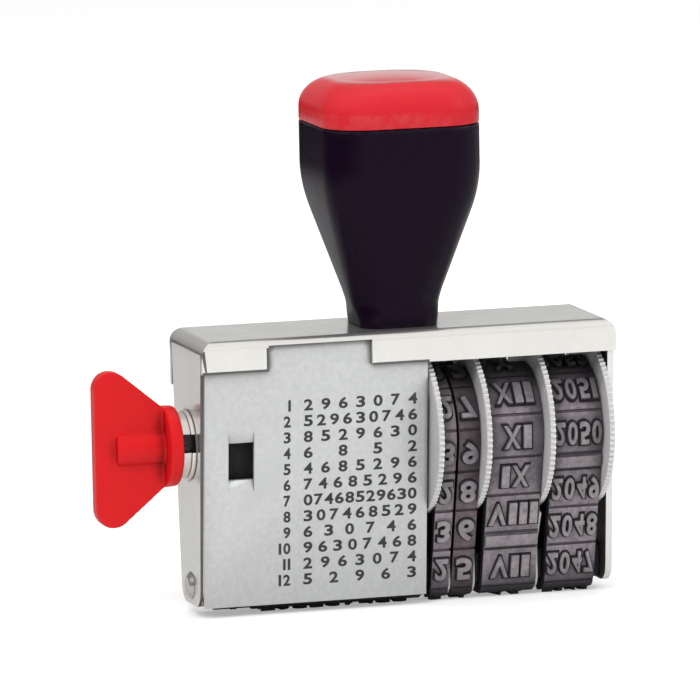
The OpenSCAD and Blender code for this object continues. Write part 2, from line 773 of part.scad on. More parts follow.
frame();
cover_plate();
bridge_bar();
bridge_rivets();
band_guides();
band_stays();
handle();
handle_cap();
handle_screw();
handle_washer();
knob_bush();
shaft_bush();
drive_shaft();
knob();
thrust_collar();
collar_screw();
phrase_drum();
drum_pin();
retaining_ring();
wheel_washers();
phrase_band();
day_tens_band();
day_units_band();
month_band();
year_band();
day_tens_disc();
day_units_disc();
month_disc();
year_disc();
day_tens_drum();
day_units_drum();
month_drum();
year_drum();
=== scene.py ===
"""Looks of a hand date stamp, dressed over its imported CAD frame.

Sizes are in millimetres, as in the part's source, and `mm` turns one into Blender's metres. The frame is
the part's own: +X runs towards the date bands, -Y is the front with the cover plate, and the printing plane
is z = 0.
"""
from __future__ import annotations

import logging
import math
from contextlib import contextmanager
from dataclasses import dataclass
from enum import Enum
from typing import Callable, Iterator, Optional, Sequence, TypeVar, Union

import bmesh
import bpy
from mathutils import Matrix, Vector


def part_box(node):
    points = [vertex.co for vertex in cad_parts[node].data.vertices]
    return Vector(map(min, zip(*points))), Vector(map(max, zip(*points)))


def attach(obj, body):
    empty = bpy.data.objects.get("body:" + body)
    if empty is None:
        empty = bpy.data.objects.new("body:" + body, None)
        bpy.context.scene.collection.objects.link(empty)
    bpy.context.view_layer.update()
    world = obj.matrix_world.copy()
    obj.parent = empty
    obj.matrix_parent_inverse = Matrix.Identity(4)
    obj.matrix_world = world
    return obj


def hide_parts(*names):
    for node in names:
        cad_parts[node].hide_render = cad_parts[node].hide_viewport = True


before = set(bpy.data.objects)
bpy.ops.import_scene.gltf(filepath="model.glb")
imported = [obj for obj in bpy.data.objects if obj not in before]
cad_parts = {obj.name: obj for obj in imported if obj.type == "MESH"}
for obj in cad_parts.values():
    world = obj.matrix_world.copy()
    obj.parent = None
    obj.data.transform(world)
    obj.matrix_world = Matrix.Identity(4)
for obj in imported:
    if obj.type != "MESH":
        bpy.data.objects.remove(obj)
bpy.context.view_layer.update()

LOG = logging.getLogger("date_stamp")
FIGURES = "2345678906"
FIGURE_STRIDE = 7
QUARTER = math.pi / 2.0
FACING = 0.9
WHITE = (1.0, 1.0, 1.0, 1.0)

Object = bpy.types.Object
Socket = bpy.types.NodeSocket
Sockets = bpy.types.NodeOutputs
Colour = tuple[float, float, float]
Span = tuple[float, float]
Value = Union[float, int, str, tuple, Socket]
Length = TypeVar("Length", float, Vector)


def mm(value: Length) -> Length:
    """Turns millimetres into metres."""
    return value * 0.001


def to_mm(value: float) -> float:
    """Turns metres into millimetres."""
    return value * 1000.0


def plain_figure(start: int, place: int) -> str:
    """Picks the figure that stands at a place in a row of plain figures."""
    return FIGURES[(start + FIGURE_STRIDE * place) % len(FIGURES)]


def toned(colour: Colour, factor: float) -> Colour:
    """Makes a colour brighter or darker."""
    return tuple(min(1.0, c * factor) for c in colour)


# Shared sizes of the stamp, as in the part's source


@dataclass(frozen=True)
class Stamp:
    """Driving sizes that several pieces share, in millimetres."""

    half_length: float = 30.0
    sheet: float = 0.9
    frame_top: float = 39.4
    flange_foot: float = 34.9
    inner_depth: float = 7.8
    foot_height: float = 1.5
    foot_half: float = 4.8
    axle: float = 24.0
    bridge_depth: float = 4.4
    bridge_edge: float = 0.9
    band_thickness: float = 1.0
    type_raise: float = 0.7
    band_clearance: float = 0.25
    drum_radius: float = 7.3
    phrase_drum_radius: float = 3.2

    @property
    def cover_lean(self) -> float:
        """Angle by which the cover plate leans back below the flange."""
        return math.atan2(self.inner_depth - self.foot_half, self.flange_foot - self.foot_height)

    def on_cover(self, x: float, z: float, out: float = 0.0) -> Vector:
        """Finds a point on the leaning outer face of the cover plate.

        Args:
            x: Place along the frame.
            z: Height above the printing plane.
            out: Distance in front of the face.

        Returns:
            The point, in millimetres.
        """
        lean = self.cover_lean
        y = -self.inner_depth + (self.flange_foot - z) * math.tan(lean)
        return Vector((x, y - out * math.cos(lean), z - out * math.sin(lean)))

    @staticmethod
    def span(node: str) -> Span:
        """Finds where a CAD node begins and ends along X, in millimetres."""
        low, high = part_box(node)
        return to_mm(low.x), to_mm(high.x)


STAMP = Stamp()


# Hand tools


class Pick(Enum):
    """What a selection in edit mode is made of."""

    VERTEX = "VERT"
    EDGE = "EDGE"
    FACE = "FACE"


class Bench:
    """Hand tools that act on one object, with nothing else selected."""

    weld = 0.002
    flatness = 0.5
    crease = 40.0
    sharp = 50.0

    @staticmethod
    def clear() -> None:
        """Leaves edit mode and deselects every object."""
        if bpy.context.mode != "OBJECT":
            bpy.ops.object.mode_set(mode="OBJECT")
        bpy.ops.object.select_all(action="DESELECT")

    @staticmethod
    def hold(obj: Object) -> None:
        """Makes one object the only selected and the active one.

        Args:
            obj: The object.
        """
        Bench.clear()
        obj.select_set(True)
        bpy.context.view_layer.objects.active = obj

    @staticmethod
    def taken(name: str) -> Object:
        """Names the object that was just added or joined.

        Args:
            name: Its name, and its mesh's.

        Returns:
            The object.
        """
        obj = bpy.context.active_object
        obj.name = name
        obj.data.name = name
        return obj

    @staticmethod
    @contextmanager
    def editing(obj: Object, pick: Pick = Pick.FACE) -> Iterator[None]:
        """Opens an object in edit mode with all of it selected, and closes it again.

        Args:
            obj: The mesh object.
            pick: The kind of element that is selected.

        Yields:
            Nothing, while the object is open.
        """
        Bench.hold(obj)
        bpy.ops.object.mode_set(mode="EDIT")
        bpy.ops.mesh.select_mode(type=pick.value)
        bpy.ops.mesh.select_all(action="SELECT")
        try:
            yield
        finally:
            bpy.ops.object.mode_set(mode="OBJECT")

    @staticmethod
    def pick(obj: Object, kind: Pick, test: Callable[[Vector, Vector], bool]) -> None:
        """Selects, in edit mode, the faces or the edges that pass a test.

        Args:
            obj: The object in edit mode.
            kind: Faces or edges.
            test: Gets a face's centre and normal, or the two ends of an edge.
        """
        bpy.ops.mesh.select_mode(type=kind.value)
        bpy.ops.mesh.select_all(action="DESELECT")
        mesh = bmesh.from_edit_mesh(obj.data)
        if kind is Pick.FACE:
            pairs = [(face, face.calc_center_median(), face.normal) for face in mesh.faces]
        else:
            pairs = [(edge, edge.verts[0].co, edge.verts[1].co) for edge in mesh.edges]
        for item, first, second in pairs:
            if test(first, second):
                item.select_set(True)
        bmesh.update_edit_mesh(obj.data)

    @staticmethod
    def finish(obj: Object, kind: str, **settings: object) -> None:
        """Adds a modifier, sets it and applies it.

        Args:
            obj: The object to change.
            kind: Blender's name of the modifier type.
            **settings: Properties of the modifier.
        """
        Bench.hold(obj)
        modifier = obj.modifiers.new(kind.title(), kind)
        for name, value in settings.items():
            setattr(modifier, name, value)
        bpy.ops.object.modifier_apply(modifier=modifier.name)

    @staticmethod
    def ease(obj: Object, width: float, segments: int, angle: float) -> None:
        """Eases the sharp edges of an object.

        Args:
            obj: The object.
            width: Width of the eased edge in millimetres.
            segments: Number of faces across it.
            angle: Edges that turn by more than this many degrees are eased.
        """
        Bench.finish(obj, "BEVEL", width=mm(width), segments=segments, limit_method="ANGLE",
                     angle_limit=math.radians(angle), offset_type="OFFSET", use_clamp_overlap=True)

    @staticmethod
    def combine(obj: Object, other: Object, operation: str, **settings: object) -> None:
        """Unites an object with another or cuts the other out of it, and discards the other.

        Args:
            obj: The object to change.
            other: The object that is used up.
            operation: Blender's name of the Boolean operation.
            **settings: Further properties of the modifier.
        """
        Bench.finish(obj, "BOOLEAN", operation=operation, object=other, solver="EXACT", **settings)
        Bench.discard(other)

    @staticmethod
    def settle(obj: Object) -> None:
        """Applies an object's place, turn and scale to its mesh."""
        Bench.hold(obj)
        bpy.ops.object.transform_apply(location=True, rotation=True, scale=True)

    @staticmethod
    def outward(obj: Object, merge: float = 0.001) -> None:
        """Merges doubles and turns the faces outwards.

        Args:
            obj: The object.
            merge: Points closer than this many millimetres are merged.
        """
        with Bench.editing(obj):
            bpy.ops.mesh.remove_doubles(threshold=mm(merge))
            bpy.ops.mesh.select_all(action="SELECT")
            bpy.ops.mesh.normals_make_consistent(inside=False)

    @staticmethod
    def smooth(obj: Object, degrees: float = crease) -> None:
        """Shades an object smooth, with creases where faces meet more sharply than an angle."""
        Bench.hold(obj)
        bpy.ops.object.shade_smooth_by_angle(angle=math.radians(degrees))

    @staticmethod
    def join(name: str, parts: Sequence[Object]) -> Object:
        """Joins meshes into one object.

        Args:
            name: The new object's name.
            parts: The objects, of which the first takes in the rest.

        Returns:
            The joined object.
        """
        Bench.clear()
        for part in parts:
            part.select_set(True)
        bpy.context.view_layer.objects.active = parts[0]
        if len(parts) > 1:
            bpy.ops.object.join()
        return Bench.taken(name)

    @staticmethod
    def copy(mesh: bpy.types.Mesh, name: str, place: Optional[Matrix] = None) -> Object:
        """Makes an object from a copy of a mesh.

        Args:
            mesh: The mesh to copy.
            name: The copy's name.
            place: Where the copy's mesh is moved to, if anywhere.

        Returns:
            The copy.
        """
        twin = bpy.data.objects.new(name, mesh.copy())
        twin.data.name = name
        bpy.context.scene.collection.objects.link(twin)
        if place is not None:
            twin.data.transform(place)
        return twin

    @staticmethod
    def discard(obj: Object) -> None:
        """Removes a piece that has served its turn."""
        bpy.data.objects.remove(obj, do_unlink=True)

    @staticmethod
    def block(name: str, size: Sequence[float], middle: Sequence[float]) -> Object:
        """Adds a block at its size and place.

        Args:
            name: The block's name.
            size: Its size along X, Y and Z in millimetres.
            middle: Its middle in millimetres.

        Returns:
            The block.
        """
        Bench.clear()
        bpy.ops.mesh.primitive_cube_add(size=1.0)
        obj = Bench.taken(name)
        obj.scale = [mm(v) for v in size]
        obj.location = [mm(v) for v in middle]
        Bench.settle(obj)
        return obj

    @staticmethod
    def eased_copy(node: str, name: str, width: float, segments: int = 2, angle: float = 28.0) -> Object:
        """Copies a CAD node and eases its sharp edges, as a tumbled or plated piece has them.

        Args:
            node: The CAD node.
            name: The new piece's name.
            width: Width of the eased edge in millimetres.
            segments: Number of faces across it.
            angle: Edges that turn by more than this many degrees are eased.

        Returns:
            The new piece, which still has to ride on a body.
        """
        obj = Bench.copy(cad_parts[node].data, name)
        obj.data.materials.clear()
        with Bench.editing(obj):
            bpy.ops.mesh.remove_doubles(threshold=mm(Bench.weld))
            bpy.ops.mesh.select_all(action="SELECT")
            bpy.ops.mesh.dissolve_limited(angle_limit=math.radians(Bench.flatness), delimit={"NORMAL"})
        Bench.ease(obj, width, segments, angle)
        Bench.smooth(obj)
        return obj


# Shader tools


class Tree:
    """A node tree that is filled in by short calls."""

    def __init__(self, tree: bpy.types.NodeTree) -> None:
        """Holds the tree to fill in."""
        self.tree = tree

    @classmethod
    def of(cls, owner: Union[bpy.types.Material, bpy.types.World]) -> Tree:
        """Empties the node tree of a material or a world.

        Args:
            owner: The material or world.

        Returns:
            The tree, ready to be filled in.
        """
        owner.use_nodes = True
        owner.node_tree.nodes.clear()
        return cls(owner.node_tree)

    def feed(self, node: bpy.types.Node, name: Union[str, int], value: Value) -> None:
        """Links a socket to a node's input, or sets a constant on it.

        Args:
            node: The node.
            name: The input's name or number.
            value: The socket or constant.
        """
        if isinstance(value, Socket):
            self.tree.links.new(value, node.inputs[name])
        else:
            node.inputs[name].default_value = value

    def node(self, kind: str, inputs: Optional[dict[Union[str, int], Value]] = None,
             **settings: object) -> bpy.types.Node:
        """Adds a node.

        Args:
            kind: The node's type, without the prefix ShaderNode.
            inputs: Values or sockets for its inputs, by name or number.
            **settings: Properties of the node.

        Returns:
            The node.
        """
        new = self.tree.nodes.new("ShaderNode" + kind)
        for name, value in settings.items():
            setattr(new, name, value)
        for name, value in (inputs or {}).items():
            self.feed(new, name, value)
        return new

    def math(self, operation: str, a: Value, b: Value, clamp: bool = False) -> Socket:
        """Adds a Math node and returns its result."""
        return self.node("Math", {0: a, 1: b}, operation=operation, use_clamp=clamp).outputs[0]

    def plus(self, a: Value, b: Value, clamp: bool = False) -> Socket:
        """Adds two values."""
        return self.math("ADD", a, b, clamp)

    def times(self, a: Value, b: Value, clamp: bool = False) -> Socket:
        """Multiplies two values."""
        return self.math("MULTIPLY", a, b, clamp)

    def ramp(self, value: Socket, span: Span) -> Socket:
        """Spreads the part of a value between two limits over 0 to 1."""
        limits = {"Value": value, "From Min": span[0], "From Max": span[1]}
        return self.node("MapRange", limits, clamp=True).outputs[0]

    def between(self, share: Value, a: Value, b: Value) -> Socket:
        """Mixes two values by a share and returns the result."""
        return self.node("Mix", {0: share, 2: a, 3: b}, data_type="FLOAT").outputs[0]

    def fade(self, value: Socket, span: Span, a: Value, b: Value) -> Socket:
        """Goes from one value to another while a third crosses a span."""
        return self.between(self.ramp(value, span), a, b)

    def blend(self, share: Value, a: Union[Colour, Socket], b: Union[Colour, Socket]) -> Socket:
        """Mixes two colours by a share and returns the result."""
        full = [c if isinstance(c, Socket) else (*c, 1.0) for c in (a, b)]
        return self.node("Mix", {0: share, 6: full[0], 7: full[1]}, data_type="RGBA").outputs[2]

    def split(self, vector: Socket) -> Sockets:
        """Splits a vector into X, Y and Z."""
        return self.node("SeparateXYZ", {0: vector}).outputs

    def place(self) -> Socket:
        """Gives the object's own coordinates."""
        return self.node("TexCoord").outputs["Object"]

    def rise(self) -> Socket:
        """Says how far the surface looks upwards."""
        return self.split(self.node("NewGeometry").outputs["Normal"])[2]

    def noise(self, scale: Value, detail: float) -> Socket:
        """Adds noise over the object's own coordinates."""
        inputs = {"Vector": self.place(), "Scale": scale, "Detail": detail}
        return self.node("TexNoise", inputs).outputs["Fac"]


class Effect:
    """A shared effect: a node group, built once and placed in each material with its own values."""

    name: str
    inputs: dict[str, float]

    @classmethod
    def group(cls) -> bpy.types.NodeTree:
        """Finds the effect's group, or builds it.

        Returns:
            The group.
        """
        old = bpy.data.node_groups.get(cls.name)
        if old:
            return old
        group = bpy.data.node_groups.new(cls.name, "ShaderNodeTree")
        for label, default in cls.inputs.items():
            socket = group.interface.new_socket(label, in_out="INPUT", socket_type="NodeSocketFloat")
            socket.default_value = default
        results = cls.fill(Tree(group), group.nodes.new("NodeGroupInput").outputs)
        for label in results:
            group.interface.new_socket(label, in_out="OUTPUT", socket_type="NodeSocketFloat")
        out = group.nodes.new("NodeGroupOutput")
        for label, result in results.items():
            group.links.new(result, out.inputs[label])
        return group

    @classmethod
    def put(cls, t: Tree, **values: float) -> Sockets:
        """Places the effect in a material.

        Args:
            t: The material's tree.
            **values: Inputs, with spaces in their names as underscores.

        Returns:
            The outputs of the group's node.
        """
        new = t.node("Group", node_tree=cls.group())
        for label, value in values.items():
            new.inputs[label.replace("_", " ")].default_value = value
        return new.outputs

    @classmethod
    def fill(cls, t: Tree, given: Sockets) -> dict[str, Socket]:
        """Adds the nodes of this effect.

        Args:
            t: The group's tree.
            given: The group's inputs.

        Returns:
            The group's outputs by name.
        """
        raise NotImplementedError


class Mottle(Effect):
    """Soft clouds with finer clouds in them, for uneven plating, moulding and dirt."""

    name = "mottle"
    inputs = {"Scale": 200.0, "Contrast": 1.0}
    fineness = 5.3
    broad_share, fine_share = 0.68, 0.32
    middle = 0.5

    @classmethod
    def fill(cls, t: Tree, given: Sockets) -> dict[str, Socket]:
        """Mixes broad and fine noise and spreads it by the contrast.

        Args:
            t: The group's tree.
            given: Its inputs Scale and Contrast.

        Returns:
            The output Value.
        """
        broad = t.noise(given["Scale"], detail=3.0)
        fine = t.noise(t.times(given["Scale"], cls.fineness), detail=2.0)
        both = t.plus(t.times(broad, cls.broad_share), t.times(fine, cls.fine_share))
        spread = t.times(t.math("SUBTRACT", both, cls.middle), given["Contrast"])
        return {"Value": t.plus(spread, cls.middle, clamp=True)}


class Lines(Effect):
    """Fine lines, drawn out along one axis, for rolled, brushed or turned metal."""

    name = "grain"
    inputs = {"Along X": 0.02, "Along Y": 1.0, "Along Z": 1.0, "Scale": 9000.0}

    @classmethod
    def fill(cls, t: Tree, given: Sockets) -> dict[str, Socket]:
        """Squeezes noise along the axes.

        Args:
            t: The group's tree.
            given: Its inputs Along X, Along Y, Along Z and Scale.

        Returns:
            The output Lines.
        """
        squeeze = t.node("CombineXYZ", {i: given["Along " + axis] for i, axis in enumerate("XYZ")}).outputs[0]
        drawn = t.node("VectorMath", {0: t.place(), 1: squeeze}, operation="MULTIPLY").outputs[0]
        inputs = {"Vector": drawn, "Scale": given["Scale"], "Detail": 3.0, "Roughness": 0.65}
        return {"Lines": t.node("TexNoise", inputs).outputs["Fac"]}


class Wear(Effect):
    """Rubbed edges, broken up by noise, and hollows."""

    name = "wear"
    inputs = {"Amount": 1.0, "Scale": 900.0}
    edge_bend: Span = (0.515, 0.60)
    hollow_bend: Span = (0.40, 0.495)
    patches: Span = (0.35, 0.65)

    @classmethod
    def fill(cls, t: Tree, given: Sockets) -> dict[str, Socket]:
        """Finds edges and hollows by how the surface bends.

        Args:
            t: The group's tree.
            given: Its inputs Amount and Scale.

        Returns:
            The outputs Edge and Hollow.
        """
        bend = t.node("NewGeometry").outputs["Pointiness"]
        patches = t.ramp(t.noise(given["Scale"], detail=4.0), cls.patches)
        edge = t.times(t.ramp(bend, cls.edge_bend), patches)
        hollow = t.math("SUBTRACT", 1.0, t.ramp(bend, cls.hollow_bend))
        return {"Edge": t.times(edge, given["Amount"], clamp=True),
                "Hollow": t.times(hollow, given["Amount"], clamp=True)}


class Dust(Effect):
    """Dust that lies on faces that look upwards."""

    name = "dust"
    inputs = {"Amount": 0.3, "Scale": 700.0}
    upward: Span = (0.2, 1.0)
    patches: Span = (0.42, 0.75)

    @classmethod
    def fill(cls, t: Tree, given: Sockets) -> dict[str, Socket]:
        """Lays patches of noise on upward faces.

        Args:
            t: The group's tree.
            given: Its inputs Amount and Scale.

        Returns:
            The output Mask.
        """
        patches = t.ramp(t.noise(given["Scale"], detail=5.0), cls.patches)
        lying = t.times(t.ramp(t.rise(), cls.upward), patches)
        return {"Mask": t.times(lying, given["Amount"], clamp=True)}


class Crevice(Effect):
    """Painted shade where a surface meets its neighbours, found by ambient occlusion; its reach is in metres.
    """

    name = "painted_crevice_shade"
    inputs = {"Amount": 0.8, "Reach": 0.0006}
    closeness: Span = (0.90, 0.55)

    @classmethod
    def fill(cls, t: Tree, given: Sockets) -> dict[str, Socket]:
        """Measures how open the surroundings are.

        Args:
            t: The group's tree.
            given: Its inputs Amount and Reach.

        Returns:
            The output Mask.
        """
        open_sky = t.node("AmbientOcclusion", {"Distance": given["Reach"]}, samples=8).outputs["AO"]
        return {"Mask": t.times(t.ramp(open_sky, cls.closeness), given["Amount"], clamp=True)}


class Grain(Enum):
    """Way the lines of a metal surface run, as squeezes along X, Y and Z."""

    ALONG_X = (0.03, 1.0, 1.0)
    UPRIGHT = (1.0, 1.0, 0.03)
    TURNED = (1.0, 0.06, 0.06)
    EVEN = (1.0, 1.0, 1.0)


@dataclass(frozen=True)
class Finish:
    """A finish with its colours; each kind fills in its own nodes."""

    name: str
    colour: Colour
    second: Colour
    roughness: float

    def material(self) -> bpy.types.Material:
        """Makes the material, or finds it where it is already made.

        Returns:
            The material.
        """
        old = bpy.data.materials.get(self.name)
        if old:
            return old
        made = bpy.data.materials.new(self.name)
        t = Tree.of(made)
        shader = t.node("BsdfPrincipled")
        t.node("OutputMaterial", {"Surface": shader.outputs[0]})
        self.fill(t, shader)
        return made

    def fill(self, t: Tree, shader: bpy.types.Node) -> None:
        """Adds the nodes of this finish.

        Args:
            t: The material's tree.
            shader: Its Principled BSDF.
        """
        raise NotImplementedError

    @staticmethod
    def soil(t: Tree, tone: Socket, dirt: Colour, amount: float, reach: float) -> Socket:
        """Paints shade into a tone where the surface meets its neighbours within a reach in millimetres."""
        return t.blend(Crevice.put(t, Amount=amount, Reach=mm(reach))["Mask"], tone, dirt)

    @staticmethod
    def bump(t: Tree, shader: bpy.types.Node, height: Socket, strength: float, distance: float) -> None:
        """Feeds a height into the shader's normal; the distance is the full height in millimetres."""
        node = t.node("Bump", {"Height": height, "Strength": strength, "Distance": mm(distance)})
        t.feed(shader, "Normal", node.outputs[0])

    def dress(self, *objects: Object) -> None:
        """Puts the material on objects, in place of any other.

        Args:
            *objects: The objects.
        """
        for obj in objects:
            obj.data.materials.clear()
            obj.data.materials.append(self.material())


@dataclass(frozen=True)
class PlatedMetal(Finish):
    """Sheet or turned metal with a grain, cloudy plating and rubbed edges."""

    grain: Grain = Grain.EVEN
    metallic: float = 1.0
    lines: float = 0.12
    cloud: float = 1.6
    # grime, reach and dirt set the painted shade where the metal meets its neighbours.
    grime: float = 0.75
    reach: float = 0.6
    dirt: Colour = (0.030, 0.024, 0.022)
    rubbed: float = 1.12
    hollow: float = 0.5
    hollow_shade: float = 0.35
    cloud_gloss: float = -0.06

    def fill(self, t: Tree, shader: bpy.types.Node) -> None:
        """Adds grain, clouds in the plating, brighter edges and painted shade in the corners.

        Args:
            t: The material's tree.
            shader: Its Principled BSDF.
        """
        x, y, z = self.grain.value
        cloud = Mottle.put(t, Scale=170.0, Contrast=self.cloud)["Value"]
        lines = Lines.put(t, Along_X=x, Along_Y=y, Along_Z=z, Scale=7000.0)["Lines"]
        wear = Wear.put(t, Amount=0.6, Scale=1500.0)
        tone = t.blend(cloud, self.second, self.colour)
        tone = t.blend(wear["Edge"], tone, toned(self.colour, self.rubbed))
        tone = t.blend(t.times(wear["Hollow"], self.hollow), tone, toned(self.second, self.hollow_shade))
        rough = t.plus(t.times(lines, self.lines), self.roughness - self.lines / 2.0)
        # The base colour gets painted shade where the metal meets its neighbours.
        t.feed(shader, "Base Color", self.soil(t, tone, self.dirt, self.grime, self.reach))
        t.feed(shader, "Roughness", t.plus(rough, t.times(cloud, self.cloud_gloss), clamp=True))
        t.feed(shader, "Metallic", self.metallic)
        self.bump(t, shader, lines, strength=0.25, distance=0.004)


@dataclass(frozen=True)
class MouldedPlastic(Finish):
    """Moulded plastic with a faint orange peel, rubbed edges and some dust."""

    shine: float = 0.5
    dust: float = 0.15
    dust_scale: float = 900.0
    dust_colour: Colour = (0.62, 0.58, 0.58)
    dust_cover: float = 0.34
    dust_rough: float = 0.25
    peel: float = 0.03
    # grime, reach and grime_shade set the painted shade where the plastic meets its neighbours, as round the
    # knob's hub.
    grime: float = 0.45
    reach: float = 1.4
    grime_shade: float = 0.25
    rubbed: float = 0.35
    rubbed_share: float = 0.72
    rubbed_lift: float = 0.154
    cloud_rough: float = 0.10
    polish: float = 0.0
    polish_rough: float = 0.16
    polish_rise: Span = (0.93, 0.99)

    def fill(self, t: Tree, shader: bpy.types.Node) -> None:
        """Adds cloudy colour, rubbed edges, dust, painted shade in the corners, orange peel and a polished
        top.

        Args:
            t: The material's tree.
            shader: Its Principled BSDF.
        """
        cloud = Mottle.put(t, Scale=120.0, Contrast=1.5)["Value"]
        wear = Wear.put(t, Amount=0.5, Scale=700.0)["Edge"]
        dust = Dust.put(t, Amount=self.dust, Scale=self.dust_scale)["Mask"]
        pale = tuple(c * self.rubbed_share + self.rubbed_lift for c in self.colour)
        tone = t.blend(cloud, self.second, self.colour)
        tone = t.blend(t.times(wear, self.rubbed), tone, pale)
        tone = t.blend(t.times(dust, self.dust_cover), tone, self.dust_colour)
        # Painted shade where the plastic meets its neighbours.
        tone = self.soil(t, tone, toned(self.second, self.grime_shade), self.grime, self.reach)
        rough = t.plus(self.roughness - self.cloud_rough / 2.0, t.times(cloud, self.cloud_rough))
        t.feed(shader, "Base Color", tone)
        t.feed(shader, "Roughness", t.plus(rough, t.times(dust, self.dust_rough), clamp=True))
        t.feed(shader, "Specular IOR Level", self.shine)
        if self.polish:
            t.feed(shader, "Coat Roughness", self.polish_rough)
            t.feed(shader, "Coat Weight", t.times(t.ramp(t.rise(), self.polish_rise), self.polish))
        self.bump(t, shader, t.noise(scale=2600.0, detail=2.0), strength=0.35, distance=self.peel)


@dataclass(frozen=True)
class TypeRubber(Finish):
    """Vulcanised rubber, greyed by powder, stained with ink in its hollows, with painted shade where it meets
    its neighbours and under the flange.
    """

    # stain is the colour of old ink and of the painted shade.
    stain: Colour = (0.010, 0.009, 0.012)
    shine: float = 0.3
    edge: float = 0.5
    edge_lift: float = 2.0
    hollow: float = 0.8
    # grime and reach paint shade where the rubber meets its neighbours, reaching far enough to shade the
    # bands under the flange.
    grime: float = 0.72
    reach: float = 5.0
    inked: float = 0.88
    inked_foot: Span = (2.2, 0.7)
    # sooted and sooted_top paint the shadow that the flange casts on the bands' tops, by height.
    sooted: float = 0.72
    sooted_top: Span = (27.3, 31.8)
    cloud_rough: float = 0.16

    def fill(self, t: Tree, shader: bpy.types.Node) -> None:
        """Adds powdery clouds, dark hollows, rubbed edges, an inked foot, a painted shadow at the top,
        painted shade and a matt grain.

        Args:
            t: The material's tree.
            shader: Its Principled BSDF.
        """
        cloud = Mottle.put(t, Scale=420.0, Contrast=2.4)["Value"]
        wear = Wear.put(t, Amount=0.9, Scale=1300.0)
        tone = t.blend(cloud, self.second, self.colour)
        tone = t.blend(t.times(wear["Hollow"], self.hollow), tone, self.stain)
        tone = t.blend(t.times(wear["Edge"], self.edge), tone, toned(self.colour, self.edge_lift))
        # The inked foot is real ink; the top, under the flange, gets a painted shadow by its height.
        height = t.split(t.place())[2]
        inked, sooted = (t.times(t.ramp(height, (mm(span[0]), mm(span[1]))), share) for span, share in
                         ((self.inked_foot, self.inked), (self.sooted_top, self.sooted)))
        tone = t.blend(t.math("MAXIMUM", inked, sooted), tone, self.stain)
        rough = t.plus(self.roughness - self.cloud_rough / 2.0, t.times(cloud, self.cloud_rough), clamp=True)
        # Painted shade where the rubber meets its neighbours.
        t.feed(shader, "Base Color", self.soil(t, tone, self.stain, self.grime, self.reach))
        t.feed(shader, "Roughness", rough)
        t.feed(shader, "Specular IOR Level", self.shine)
        self.bump(t, shader, t.noise(scale=5200.0, detail=3.0), strength=0.5, distance=0.02)


@dataclass(frozen=True)
class PrintedInk(Finish):
    """Printing ink on metal, a little thin in places."""

    cloud_rough: float = 0.15

    def fill(self, t: Tree, shader: bpy.types.Node) -> None:
        """Adds thin spots to the ink's colour and gloss.

        Args:
            t: The material's tree.
            shader: Its Principled BSDF.
        """
        cloud = Mottle.put(t, Scale=900.0, Contrast=2.2)["Value"]
        t.feed(shader, "Base Color", t.blend(cloud, self.second, self.colour))
        t.feed(shader, "Roughness", t.plus(self.roughness, t.times(cloud, self.cloud_rough), clamp=True))


# grime on a finish sets how much painted shade gathers in its corners.
NICKEL = PlatedMetal("nickel_plate", (0.78, 0.77, 0.735), (0.71, 0.70, 0.67), roughness=0.25,
                     grain=Grain.ALONG_X, metallic=0.85)
# Dark finish for cut edges, and also the painted shade on the end plates' insides and the painted shadow
# lines on the flange.
CUT_EDGE_AND_SHADE = PlatedMetal("cut_edge_and_painted_shade", (0.16, 0.155, 0.15), (0.09, 0.085, 0.085), roughness=0.5, metallic=0.8)
COVER = PlatedMetal("satin_cover", (0.60, 0.61, 0.605), (0.565, 0.575, 0.57), roughness=0.46,
                    grain=Grain.UPRIGHT, metallic=0.55, lines=0.10, cloud=0.6, grime=0.65, reach=1.1)
RIM = PlatedMetal("disc_plate", (0.72, 0.71, 0.72), (0.62, 0.61, 0.62), roughness=0.42, metallic=0.4,
                  grime=0.3)
RIVET = PlatedMetal("rivet_nickel", (0.62, 0.60, 0.58), (0.50, 0.48, 0.47), roughness=0.30, metallic=0.85,
                    grime=1.0, reach=0.9)
BRIGHT = PlatedMetal("turned_nickel", (0.86, 0.82, 0.78), (0.78, 0.74, 0.71), roughness=0.24,
                     grain=Grain.TURNED, metallic=0.5, lines=0.06, grime=0.35, reach=0.3)
GUIDE = PlatedMetal("guide_plate", (0.62, 0.61, 0.60), (0.52, 0.51, 0.50), roughness=0.40, metallic=0.3,
                    grime=0.2, reach=0.2)
STEEL = PlatedMetal("bright_steel", (0.46, 0.46, 0.47), (0.34, 0.34, 0.36), roughness=0.34,
                    grain=Grain.TURNED)
DARK_STEEL = PlatedMetal("oiled_steel", (0.05, 0.05, 0.055), (0.03, 0.03, 0.034), roughness=0.40)
BLACK_GRIP = MouldedPlastic("black_grip", (0.0078, 0.0020, 0.0116), (0.0057, 0.0015, 0.0085), roughness=0.27,
                            shine=0.078, dust=0.10)
RED_CAP = MouldedPlastic("red_cap", (0.70, 0.026, 0.037), (0.64, 0.021, 0.031), roughness=0.24, shine=0.07,
                         dust=0.30, dust_scale=20000.0, polish=1.0)
RED_KNOB = MouldedPlastic("red_knob", (0.76, 0.010, 0.013), (0.67, 0.007, 0.010), roughness=0.40, shine=0.22,
                          dust=0.08, grime=0.85, reach=2.2)
DRUM = MouldedPlastic("drum_plastic", (0.030, 0.029, 0.032), (0.018, 0.017, 0.020), roughness=0.5, shine=0.3)
BELT = TypeRubber("band_rubber", (0.022, 0.020, 0.023), (0.010, 0.009, 0.011), roughness=0.72)
BED = TypeRubber("bed_rubber", (0.285, 0.250, 0.272), (0.145, 0.127, 0.140), roughness=0.70)
DARK_BED = TypeRubber("brown_rubber", (0.150, 0.118, 0.130), (0.072, 0.056, 0.062), roughness=0.70)
TYPE = TypeRubber("type_rubber", (0.317, 0.285, 0.303), (0.180, 0.162, 0.173), roughness=0.64, edge=0.35)
